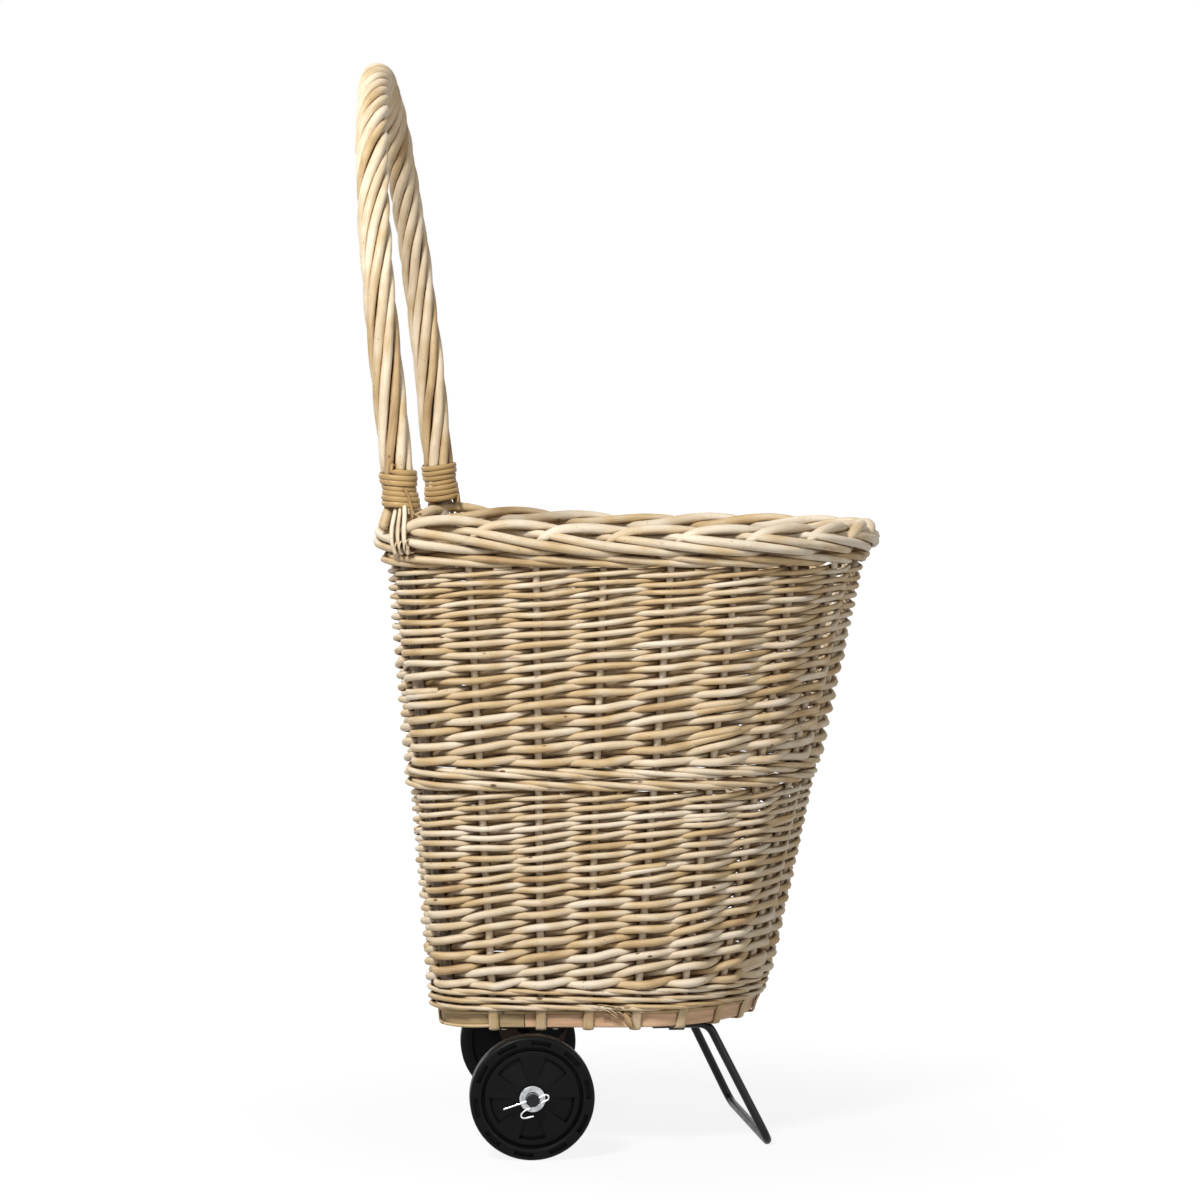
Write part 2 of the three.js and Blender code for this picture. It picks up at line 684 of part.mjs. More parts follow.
// Drawn in the axle's own frame: the axle's middle is at the origin.
function axleBracket(side) {
  const top = bracketTop - WHEEL_RADIUS;
  const half = BRACKET_TOP_WIDTH / 2;
  const eye = AXLE_RADIUS + BRACKET_EYE_WALL;
  const outline = new THREE.Shape();
  outline.moveTo(-half, top);
  outline.absarc(0, 0, eye, THREE.MathUtils.degToRad(200), THREE.MathUtils.degToRad(340), false);
  outline.lineTo(half, top);
  const bore = new THREE.Path();
  bore.absarc(0, 0, boreRadius, 0, 2 * Math.PI, true);
  outline.holes.push(bore);
  const plate = new THREE.ExtrudeGeometry(outline, {
    depth: BRACKET_PLATE,
    bevelEnabled: false,
    curveSegments: 10,
  });
  plate.rotateX(Math.PI / 2).rotateZ(Math.PI / 2);
  plate.translate(bracketOuter - BRACKET_PLATE, 0, 0);
  const flange = new THREE.BoxGeometry(BRACKET_FLANGE, BRACKET_TOP_WIDTH, BRACKET_PLATE);
  flange.translate(bracketOuter - BRACKET_FLANGE / 2, 0, top - BRACKET_PLATE / 2);
  const joined = join([plate, flange]);
  const radius = (SCREW_RADIUS + CLEARANCE) / Math.cos(Math.PI / 8);
  const holes = bracketScrewSpots().filter(([x]) => x > 0).map(([x, y]) => {
    const hole = new THREE.CylinderGeometry(radius, radius, 4 * BRACKET_PLATE, 8);
    return hole.rotateX(Math.PI / 2).translate(x, y, top - BRACKET_PLATE / 2);
  });
  const drilled = cut(joined, holes);
  return side > 0 ? drilled : drilled.rotateZ(Math.PI);
}

function washer() {
  const profile = [
    new THREE.Vector2(boreRadius, 0),
    new THREE.Vector2(WASHER_RADIUS, 0),
    new THREE.Vector2(WASHER_RADIUS, WASHER_THICKNESS),
    new THREE.Vector2(boreRadius, WASHER_THICKNESS),
    new THREE.Vector2(boreRadius, 0),
  ];
  return acrossX(new THREE.LatheGeometry(profile, 20));
}

const rimInside = WHEEL_RADIUS - WHEEL_RIM_WIDTH;

function wheelBody() {
  const half = WHEEL_WIDTH / 2;
  const inner = hubInner - wheelCentre;
  const outer = hubOuter - wheelCentre;
  const face = half - WHEEL_DISC_INSET;
  const back = face - WHEEL_DISC_THICKNESS;
  const draft = 2;
  const corners = [
    [boreRadius, inner],
    [HUB_RADIUS, inner],
    [HUB_RADIUS, back],
    [rimInside - draft, back],
    [rimInside, -half],
    [WHEEL_RADIUS - WHEEL_SHOULDER, -half],
    [WHEEL_RADIUS, WHEEL_SHOULDER - half],
    [WHEEL_RADIUS, half - WHEEL_SHOULDER],
    [WHEEL_RADIUS - WHEEL_SHOULDER, half],
    [rimInside, half],
    [rimInside - draft, face],
    [HUB_RADIUS + draft / 2, face],
    [HUB_RADIUS, outer],
    [boreRadius, outer],
    [boreRadius, inner],
  ];
  return new THREE.LatheGeometry(corners.map(([r, w]) => new THREE.Vector2(r, w)), 30);
}

// A pocket in the wheel's outer face between two radii and over one angle.
function wheelPocket(innerRadius, outerRadius, centreAngle, width, depth, curveSegments) {
  const from = THREE.MathUtils.degToRad(centreAngle - width / 2);
  const to = THREE.MathUtils.degToRad(centreAngle + width / 2);
  const outline = new THREE.Shape();
  outline.absarc(0, 0, outerRadius, from, to, false);
  outline.absarc(0, 0, innerRadius, to, from, true);
  const pocket = new THREE.ExtrudeGeometry(outline, {
    depth: 2 * depth,
    bevelEnabled: false,
    curveSegments,
  });
  return pocket.rotateX(-Math.PI / 2).translate(0, WHEEL_WIDTH / 2 - depth, 0);
}

function wheel() {
  const pockets = [];
  const slotOuter = WHEEL_RADIUS - WHEEL_SLOT_EDGE;
  const slotInner = slotOuter - WHEEL_SLOT_WIDTH;
  for (let i = 0; i < WHEEL_SLOTS; i += 1) {
    const at = WHEEL_SLOT_TURN + (360 * i) / WHEEL_SLOTS;
    pockets.push(wheelPocket(slotInner, slotOuter, at, WHEEL_SLOT_ANGLE, WHEEL_SLOT_DEPTH, 1));
  }
  const panelInner = HUB_RADIUS + WHEEL_PANEL_HUB_EDGE;
  const panelOuter = rimInside - WHEEL_PANEL_RIM_EDGE;
  for (let i = 0; i < WHEEL_PANELS; i += 1) {
    const at = WHEEL_PANEL_TURN + (360 * i) / WHEEL_PANELS;
    pockets.push(wheelPocket(panelInner, panelOuter, at, WHEEL_PANEL_ANGLE, WHEEL_PANEL_DEPTH, 2));
  }
  return acrossX(cut(wheelBody(), pockets));
}

// Hairpin clip: the straight leg goes through the axle, the bowed leg springs round it.
function axleClip(side) {
  const clear = AXLE_RADIUS + CLEARANCE + CLIP_WIRE_RADIUS;
  const route = [
    [-26, 0], [-12, 0], [0, 0], [12, 0], [17, -0.6], [20.5, -4.5], [17.5, -8.6], [11, -8.8],
    [6, -clear - 1.2], [0, -clear - 1], [-6, -clear - 0.6], [-10, -6], [-15, -7], [-19, -10.5],
  ];
  const points = route.map(([along, across]) => new THREE.Vector3(0, -along, across));
  const curve = new THREE.CatmullRomCurve3(points, false, 'centripetal');
  const wire = bar(curve, CLIP_WIRE_RADIUS, 32, 5);
  return wire.rotateX(THREE.MathUtils.degToRad(-CLIP_ANGLE)).translate(side * clipPlace, 0, 0);
}

// ---------------------------------------------------------------- leg and its saddles
const legTopHalf = LEG_TOP_SPACING / 2;
const legFootHalf = LEG_FOOT_SPACING / 2;
const legFootLevel = LEG_ROD_RADIUS - LEG_FLAT;
const legReach = (legSeatLevel - legFootLevel) * Math.tan(THREE.MathUtils.degToRad(LEG_LEAN));
const legFootY = LEG_BEND_Y - legReach;
const saddleY = (LEG_SEAT_BACK + LEG_BEND_Y) / 2 + SADDLE_SHIFT;

function filleted(corners, radius, steps) {
  const points = [corners[0]];
  for (let i = 1; i < corners.length - 1; i += 1) {
    const into = corners[i - 1].clone().sub(corners[i]).normalize();
    const away = corners[i + 1].clone().sub(corners[i]).normalize();
    const half = into.angleTo(away) / 2;
    const setBack = radius / Math.tan(half);
    const start = corners[i].clone().addScaledVector(into, setBack);
    const end = corners[i].clone().addScaledVector(away, setBack);
    const bend = new THREE.QuadraticBezierCurve3(start, corners[i], end);
    points.push(...bend.getPoints(steps));
  }
  points.push(corners[corners.length - 1]);
  return points;
}

function legRod() {
  const corners = [
    new THREE.Vector3(-legTopHalf, LEG_SEAT_BACK, legSeatLevel),
    new THREE.Vector3(-legTopHalf, LEG_BEND_Y, legSeatLevel),
    new THREE.Vector3(-legFootHalf, legFootY, legFootLevel),
    new THREE.Vector3(legFootHalf, legFootY, legFootLevel),
    new THREE.Vector3(legTopHalf, LEG_BEND_Y, legSeatLevel),
    new THREE.Vector3(legTopHalf, LEG_SEAT_BACK, legSeatLevel),
  ];
  const rod = tubeThrough(filleted(corners, LEG_BEND_RADIUS, 4), LEG_ROD_RADIUS, 8);
  const floor = new THREE.BoxGeometry(4 * LEG_FOOT_SPACING, 4 * LEG_FOOT_SPACING, 20);
  floor.translate(0, 0, -10);
  return cut(rod, [floor]);
}

function saddleScrewSpots() {
  const reach = (SADDLE_HALF_SPAN + LEG_ROD_RADIUS + SADDLE_THICKNESS) / 2 + CLEARANCE;
  return [-1, 1].flatMap((side) => [-1, 1].map((end) => [side * legTopHalf + end * reach, saddleY]));
}

function saddle(side) {
  const inner = LEG_ROD_RADIUS + CLEARANCE;
  const outer = inner + SADDLE_THICKNESS;
  const top = LEG_ROD_RADIUS;
  const outline = new THREE.Shape();
  outline.moveTo(-SADDLE_HALF_SPAN, top);
  outline.lineTo(-SADDLE_HALF_SPAN, top - SADDLE_THICKNESS);
  outline.lineTo(-outer, top - SADDLE_THICKNESS);
  outline.absarc(0, 0, outer, Math.PI, 2 * Math.PI, false);
  outline.lineTo(outer, top - SADDLE_THICKNESS);
  outline.lineTo(SADDLE_HALF_SPAN, top - SADDLE_THICKNESS);
  outline.lineTo(SADDLE_HALF_SPAN, top);
  outline.lineTo(inner, top);
  outline.absarc(0, 0, inner, 2 * Math.PI, Math.PI, true);
  outline.lineTo(-inner, top);
  const strap = new THREE.ExtrudeGeometry(outline, {
    depth: SADDLE_LENGTH,
    bevelEnabled: false,
    curveSegments: 6,
  });
  strap.rotateX(Math.PI / 2);
  strap.translate(side * legTopHalf, saddleY + SADDLE_LENGTH / 2, legSeatLevel);
  const radius = (SCREW_RADIUS + CLEARANCE) / Math.cos(Math.PI / 8);
  const holes = saddleScrewSpots().map(([x, y]) => {
    const hole = new THREE.CylinderGeometry(radius, radius, 4 * SADDLE_THICKNESS, 8);
    return hole.rotateX(Math.PI / 2).translate(x, y, bracketTop);
  });
  return cut(strap, holes);
}

// Pan head screw pointing up, its head's seat at the origin.
function screw(gripThickness) {
  const profile = [
    new THREE.Vector2(0, -SCREW_HEAD_HEIGHT),
    new THREE.Vector2(SCREW_HEAD_RADIUS, -SCREW_HEAD_HEIGHT * 0.4),
    new THREE.Vector2(SCREW_HEAD_RADIUS, 0),
    new THREE.Vector2(SCREW_RADIUS, 0),
    new THREE.Vector2(SCREW_RADIUS, gripThickness + SCREW_BITE),
    new THREE.Vector2(0, gripThickness + SCREW_BITE),
  ];
  return new THREE.LatheGeometry(profile, 8).rotateX(Math.PI / 2);
}

function screws(name, spots, seatLevel, gripThickness) {
  return spots.map(([x, y], i) => {
    const mesh = piece(`${name}_${i + 1}`, screw(gripThickness), ZINC);
    mesh.position.set(x, y, seatLevel);
    return mesh;
  });
}

// A point given in a frame that is turned about its own middle, seen from the cart's frame.
function turned(spots, middleY, degrees) {
  const angle = THREE.MathUtils.degToRad(degrees);
  return spots.map(([x, y]) => {
    const spot = new THREE.Vector2(x, y - middleY).rotateAround(new THREE.Vector2(0, 0), angle);
    return [spot.x, spot.y + middleY];
  });
}

// ---------------------------------------------------------------- assembly
const basket = new THREE.Group();
const bracketSpots = bracketScrewSpots().map(([x, y]) => [x, y + AXLE_Y]);
const boardScrewSpots = [
  ...turned(bracketSpots, AXLE_Y, AXLE_SKEW),
  ...turned(saddleScrewSpots(), saddleY, LEG_SKEW),
];
basket.add(piece('base_board', baseBoard(boardScrewSpots), BOARD));
basket.add(piece('base_band_front', baseBand(true), STRIP));
basket.add(piece('base_band_back', baseBand(false), BOARD));
STAKES.forEach((spot, i) => {
  const name = `stake_${String(i + 1).padStart(2, '0')}`;
  basket.add(piece(name, stake(spot), STAKE_WILLOW));
});
const topWaleHeight = topWaleEnd - topWaleLevel;
const bands = [
  ['bottom_wale', wale, bottomWaleLevel, BOTTOM_WALE_HEIGHT, WILLOW_WALE],
  ['lower_weave', wovenBand, lowerWeaveLevel, LOWER_WEAVE_HEIGHT, WILLOW],
  ['middle_wale', wale, middleWaleLevel, MIDDLE_WALE_HEIGHT, WILLOW_WALE],
  ['upper_weave', wovenBand, upperWeaveLevel, UPPER_WEAVE_HEIGHT, WILLOW],
  ['top_wale', wale, topWaleLevel, topWaleHeight, WILLOW_WALE],
];
bands.forEach(([name, make, level, height, finish]) => {
  basket.add(piece(name, make(level, height), finish));
});
basket.add(piece('border', border(), WILLOW_WALE));

const handle = new THREE.Group();
handle.add(piece('handle_bow', handleBow(), BARK));
for (let i = 0; i < HANDLE_RODS; i += 1) {
  handle.add(piece(`handle_rod_${i + 1}`, handleRod(i), WILLOW_WALE));
}
handle.add(piece('binding_right', handleBinding(-1), CANE));
handle.add(piece('binding_left', handleBinding(1), CANE));

const running = new THREE.Group();
running.position.set(0, AXLE_Y, WHEEL_RADIUS);
running.rotation.z = THREE.MathUtils.degToRad(AXLE_SKEW);
running.add(piece('axle', axle(), ZINC));
running.add(piece('axle_bracket_right', axleBracket(-1), BROWN_STEEL));
running.add(piece('axle_bracket_left', axleBracket(1), BROWN_STEEL));
const rightWasher = piece('washer_right', washer(), ZINC);
rightWasher.position.x = -outerWasherStart;
rightWasher.rotation.z = Math.PI;
const leftWasher = piece('washer_left', washer(), ZINC);
leftWasher.position.x = outerWasherStart;
running.add(rightWasher, leftWasher);
const rightWheel = piece('wheel_right', wheel(), BLACK_PLASTIC);
rightWheel.position.x = -wheelCentre;
rightWheel.rotation.z = Math.PI;
const leftWheel = piece('wheel_left', wheel(), BLACK_PLASTIC);
leftWheel.position.x = wheelCentre;
const rightClip = piece('axle_clip_right', axleClip(-1), BRIGHT_WIRE);
const leftClip = piece('axle_clip_left', axleClip(1), BRIGHT_WIRE);
running.add(rightWheel, leftWheel, rightClip, leftClip);
const flangeSeat = bracketTop - WHEEL_RADIUS - BRACKET_PLATE - CLEARANCE;
running.add(...screws('bracket_screw', bracketScrewSpots(), flangeSeat, BRACKET_PLATE + CLEARANCE));

const legSet = new THREE.Group();
legSet.position.set(0, saddleY, 0);
legSet.rotation.z = THREE.MathUtils.degToRad(LEG_SKEW);
legSet.add(piece('leg_rod', legRod(), BLACK_STEEL));
legSet.add(piece('leg_saddle_right', saddle(-1), BLACK_STEEL));
legSet.add(piece('leg_saddle_left', saddle(1), BLACK_STEEL));
const strapSeat = bracketTop - SADDLE_THICKNESS - CLEARANCE;
legSet.add(...screws('saddle_screw', saddleScrewSpots(), strapSeat, SADDLE_THICKNESS + CLEARANCE));
legSet.children.forEach((mesh) => {
  mesh.position.y -= saddleY;
});

// The cart stands on the floor with its box centred on the origin.
const cart = new THREE.Group();
cart.add(basket, handle, running, legSet);
cart.updateMatrixWorld(true);
const box = new THREE.Box3().setFromObject(cart, true);
cart.position.set(-(box.min.x + box.max.x) / 2, -(box.min.y + box.max.y) / 2, -box.min.z);

export default cart;
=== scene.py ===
"""Fireside log cart: a woven willow basket with a twisted handle, on two wheels and a bent steel leg."""

import json
import math
import random
from functools import partial

import bpy
from bpy.props import FloatProperty, FloatVectorProperty, IntProperty, PointerProperty
from bpy.types import Operator, Panel, PropertyGroup
from mathutils import Matrix, Vector


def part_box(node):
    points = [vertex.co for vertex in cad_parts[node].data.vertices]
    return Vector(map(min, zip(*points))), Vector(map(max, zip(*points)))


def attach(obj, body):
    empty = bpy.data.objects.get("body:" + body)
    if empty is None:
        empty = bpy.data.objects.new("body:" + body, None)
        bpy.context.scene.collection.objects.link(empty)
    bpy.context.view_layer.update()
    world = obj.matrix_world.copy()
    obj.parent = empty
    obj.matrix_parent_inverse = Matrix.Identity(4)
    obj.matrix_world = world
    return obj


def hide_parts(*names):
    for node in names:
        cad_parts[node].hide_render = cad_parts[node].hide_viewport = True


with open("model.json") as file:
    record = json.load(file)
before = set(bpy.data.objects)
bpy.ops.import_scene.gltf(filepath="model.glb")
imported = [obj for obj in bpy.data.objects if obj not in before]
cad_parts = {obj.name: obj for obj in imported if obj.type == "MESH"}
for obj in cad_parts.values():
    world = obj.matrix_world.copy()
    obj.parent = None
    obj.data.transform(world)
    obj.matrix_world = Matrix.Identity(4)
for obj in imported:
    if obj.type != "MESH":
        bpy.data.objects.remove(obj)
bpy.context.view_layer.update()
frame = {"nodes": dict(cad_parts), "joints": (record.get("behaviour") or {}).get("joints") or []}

bl_info = {
    "name": "Fireside Log Cart",
    "version": (1, 0, 0),
    "blender": (4, 5, 0),
    "location": "View3D > Sidebar > Log Cart",
    "description": "Weaves the willow basket and dresses the handle, wheels and leg of a log cart",
    "category": "Add Mesh",
}

MM = 0.001
UP = Vector((0, 0, 1))

# ---------------------------------------------------------------- the basket's wall, as the model has it
# Each size is given at the base and at the rim, on the line of the upright stakes.
BASE_LEVEL, RIM_LEVEL = 118.5 * MM, 559 * MM
HALF_WIDTH = (150 * MM, 185 * MM)
BACK = (166.5 * MM, 210 * MM)
FRONT = (-127.5 * MM, -229 * MM)
NOSE = (125 * MM, 163 * MM)
CORNER = (36 * MM, 50 * MM)
RIGHT_FOOT_ANGLE, LEFT_FOOT_ANGLE = math.radians(48), math.radians(16)
FRONT_GAPS = 17  # between the handle's feet, round the front
UPRIGHTS = 23  # the stakes and the handle's two feet
LEFT_FOOT = FRONT_GAPS  # the left foot's turn; the right foot's is 0
LINE_POINTS = (60, 40, 20, 40)  # on half the D: its rounded front, side, back corner and back
BAND_JOINT_Y = 89 * MM  # where the strips round the front and the back meet
BOARD_EDGE = 5.35 * MM  # from the stake line in to the base board

ROW_LEVELS = (134.5 * MM, 557.8 * MM)  # the wall is worked out here and runs straight between
ROW_STEPS = 24  # spots in a gap between two uprights

STAKE_RADIUS = 3.6 * MM
POST_RADIUS = 6 * MM

board_low, board_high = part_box("base_board")
PLACE = Vector(((board_low[0] + board_high[0]) / 2, board_high[1] - BACK[0] + BOARD_EDGE, 0))


def mix(a, b, share):
    """The value that lies a share of the way from a to b."""
    return a + (b - a) * share


def stake_line(level):
    """The D-shaped line of the stakes at one level, and how far along it the handle's feet stand."""
    share = (level - BASE_LEVEL) / (RIM_LEVEL - BASE_LEVEL)
    width, back, front, nose, corner = (
        mix(*size, share) for size in (HALF_WIDTH, BACK, FRONT, NOSE, CORNER))
    front_count, side_count, corner_count, back_count = LINE_POINTS
    half = []
    for i in range(front_count):
        angle = i / front_count * math.pi / 2
        half.append(Vector((width * math.sin(angle), front + nose * (1 - math.cos(angle)), 0)))
    for i in range(side_count):
        half.append(Vector((width, mix(front + nose, back - corner, i / side_count), 0)))
    to_corner = sum((b - a).length for a, b in zip(half, half[1:])) + (half[-1] - half[-2]).length
    for i in range(corner_count):
        angle = i / corner_count * math.pi / 2
        arm = Vector((math.cos(angle), math.sin(angle), 0))
        half.append(Vector((width - corner, back - corner, 0)) + arm * corner)
    for i in range(back_count + 1):
        half.append(Vector(((width - corner) * (1 - i / back_count), back, 0)))
    mirrored = [Vector((-p.x, p.y, 0)) for p in reversed(half[1:-1])]
    feet = (-to_corner - corner * RIGHT_FOOT_ANGLE, to_corner + corner * LEFT_FOOT_ANGLE)
    return half + mirrored, feet


def even_row(level):
    """Spots round the wall at one level, ROW_STEPS to a gap between two uprights, each with its way out."""
    line, (right, left) = stake_line(level)
    loop = line + line[:1]
    marks = [0.0]
    for a, b in zip(loop, loop[1:]):
        marks.append(marks[-1] + (b - a).length)
    around = marks[-1]

    def spot(distance):
        distance %= around
        i = max(n for n, mark in enumerate(marks[:-1]) if mark <= distance)
        return loop[i].lerp(loop[i + 1], (distance - marks[i]) / (marks[i + 1] - marks[i]))

    row = []
    for step in range(UPRIGHTS * ROW_STEPS + 1):
        turn = step / ROW_STEPS
        if turn <= FRONT_GAPS:
            distance = mix(right, left, turn / FRONT_GAPS)
        else:
            distance = mix(left, around + right, (turn - FRONT_GAPS) / (UPRIGHTS - FRONT_GAPS))
        ahead = spot(distance + MM) - spot(distance - MM)
        row.append((spot(distance) + PLACE, Vector((ahead.y, -ahead.x, 0)).normalized()))
    return row


ROWS = [even_row(level) for level in ROW_LEVELS]


def on_wall(turn, level, out=0.0):
    """A point on the wall. Turn counts the uprights round from the handle's right foot."""
    share = (level - ROW_LEVELS[0]) / (ROW_LEVELS[1] - ROW_LEVELS[0])
    where = (turn % UPRIGHTS) * ROW_STEPS
    i = min(int(where), UPRIGHTS * ROW_STEPS - 1)
    low, high = ((row[i][0].lerp(row[i + 1][0], where - i), row[i][1].lerp(row[i + 1][1], where - i))
                 for row in ROWS)
    point = low[0].lerp(high[0], share)
    outward = low[1].lerp(high[1], share).normalized()
    return Vector((point.x, point.y, level)) + outward * out


def way_out(turn):
    """The wall's outward direction at an upright."""
    return (on_wall(turn, RIM_LEVEL, 1) - on_wall(turn, RIM_LEVEL)).normalized()


def upright_radius(turn):
    """Radius of the upright nearest to this turn: a foot of the handle's bow or a stake."""
    nearest = round(turn) % UPRIGHTS
    return POST_RADIUS if nearest in (0, LEFT_FOOT) else STAKE_RADIUS


# ---------------------------------------------------------------- rods
def per_point(value, count):
    """A single value given to every point, or the list that was given."""
    return list(value) if isinstance(value, (list, tuple)) else [value] * count


class RodBundle:
    """Gathers swept rods and writes them as one mesh, with each rod's shade and its grain along the rod."""

    END_OUT, END_NARROW = 0.45, 0.62  # how far a rod's end rounds out and how narrow it gets, in radii
    GRAIN_START = 40  # each rod's grain starts at its own run, up to this many metres along

    def __init__(self, sides, seed):
        self.sides = sides
        self.points, self.faces, self.grain, self.shade = [], [], [], []
        self.random = random.Random(seed)

    def add(self, path, radii, shade, across=None, flat=1.0, closed=False):
        """Sweep a round section along the path, or a flat one whose width lies across."""
        path = [Vector(point) for point in path]
        radii, flats = per_point(radii, len(path)), per_point(flat, len(path))
        shades = per_point(shade, len(path))
        if not closed:
            first, last = (path[0] - path[1]).normalized(), (path[-1] - path[-2]).normalized()
            path = ([path[0] + first * radii[0] * self.END_OUT] + path
                    + [path[-1] + last * radii[-1] * self.END_OUT])
            radii = [radii[0] * self.END_NARROW] + radii + [radii[-1] * self.END_NARROW]
            flats = [flats[0]] + flats + [flats[-1]]
            shades = [shades[0]] + shades + [shades[-1]]
        count = len(path)
        start = len(self.points)
        run = self.random.uniform(0, self.GRAIN_START)
        side = Vector(across) if across is not None else None
        for i, point in enumerate(path):
            before = path[i - 1] if i or closed else path[0]
            after = path[(i + 1) % count] if i < count - 1 or closed else path[-1]
            along = (after - before).normalized()
            if side is None:
                side = along.orthogonal()
            lift = along.cross(Vector(across) if across is not None else side).normalized()
            side = lift.cross(along).normalized()
            if i:
                run += (point - path[i - 1]).length
            for k in range(self.sides):
                turn = 2 * math.pi * k / self.sides
                reach = radii[i] * math.cos(turn), radii[i] * flats[i] * math.sin(turn)
                self.points.append(point + side * reach[0] + lift * reach[1])
                self.grain.append((reach[0], reach[1], run))
                self.shade.append(shades[i])
        rings = count if closed else count - 1
        for i in range(rings):
            for k in range(self.sides):
                beside = (k + 1) % self.sides
                here, there = start + i * self.sides, start + (i + 1) % count * self.sides
                self.faces.append((here + k, here + beside, there + beside, there + k))
        if not closed:
            end = start + (count - 1) * self.sides
            self.faces.append(tuple(start + k for k in reversed(range(self.sides))))
            self.faces.append(tuple(end + k for k in range(self.sides)))

    def piece(self, name, finish, slot, *nodes):
        """Write the gathered rods as one piece that stands for these nodes of the model."""
        new_piece(name, self.points, self.faces, finish, nodes, grain=self.grain, shade=self.shade)


def new_piece(name, points, faces, finish, nodes, body="root", grain=None, shade=None, crease=None):
    """Make a mesh object, give it its finish, hang it on its body's empty and hide the model's nodes it
    stands for.
    """
    mesh = bpy.data.meshes.new(name)
    mesh.from_pydata([tuple(point) for point in points], [], faces)
    mesh.validate()
    if grain is not None:
        mesh.attributes.new("grain", "FLOAT_VECTOR", "POINT").data.foreach_set(
            "vector", [value for spot in grain for value in spot])
        mesh.attributes.new("shade", "FLOAT", "POINT").data.foreach_set("value", shade)
    mesh.polygons.foreach_set("use_smooth", [True] * len(mesh.polygons))
    mesh.update()
    if crease is not None:
        mesh.set_sharp_from_angle(angle=math.radians(crease))
    obj = bpy.data.objects.new(name, mesh)
    bpy.context.scene.collection.objects.link(obj)
    mesh.materials.append(finish)
    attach(obj, body)
    if nodes:
        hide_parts(*nodes)


def finish_solid(node, finish):
    """Give the model's own solid its finish."""
    mesh = frame["nodes"][node].data
    mesh.materials.clear()
    mesh.materials.append(FINISHES[finish])


def wander(rng, count, reach, rarity=1):
    """A smooth random walk with one value at each whole number; rarity keeps most of them small."""
    spots = [rng.uniform(-1, 1) for _ in range(count + 2)]
    values = [reach * spot * abs(spot) ** (rarity - 1) for spot in spots]

    def at(where):
        where = min(max(where, 0), count)
        i = int(where)
        ease = (1 - math.cos(math.pi * (where - i))) / 2
        return mix(values[i], values[i + 1], ease)
    return at


def smooth_keys(keys, where, closed=False):
    """Catmull-Rom curve through evenly spaced values, read at a place counted in keys."""
    count = len(keys)
    i = math.floor(where)
    part = where - i
    near = range(i - 1, i + 3)
    a, b, c, d = (keys[n % count if closed else min(max(n, 0), count - 1)] for n in near)
    return b + 0.5 * part * (c - a + part * (2 * a - 5 * b + 4 * c - d + part * (3 * (b - c) + d - a)))


def smooth_marks(marks, where):
    """Smooth curves through evenly spaced marks of several values each."""
    return [smooth_keys(column, where) for column in zip(*marks)]


def through(marks, where):
    """Smooth curves through (place, value, ...) marks at uneven places."""
    i = max(n for n, mark in enumerate(marks[:-1]) if n == 0 or mark[0] <= where)
    share = min(max((where - marks[i][0]) / (marks[i + 1][0] - marks[i][0]), 0), 1)
    return smooth_marks([mark[1:] for mark in marks], i + share)


# ---------------------------------------------------------------- finishes
KNOT_BROWN, DOT_BROWN, BARK_STAIN = (0.16, 0.085, 0.045), (0.10, 0.055, 0.03), (0.30, 0.13, 0.05)
# painted shade: how open a spot is, and the brown that darkens it where rods meet and keep the light out
PAINTED_CREVICE_SHADE = ((0.13, (0.12, 0.06, 0.02)), (0.37, (0.50, 0.41, 0.295)), (0.62, (1, 1, 1)))
# painted dark reflection for the axle's ends
PAINTED_DARK_REFLECTION = (0.03, 0.03, 0.032)
PAINTED_HANDLE_LIGHT = (1.12, 1.10, 1.06)  # painted light: the handle's rods are made paler than the basket's, for the strong light on the handle
AXLE_DARK = 194 * MM  # the axle is painted near black beyond this far across, in place of the dark the real ends reflect
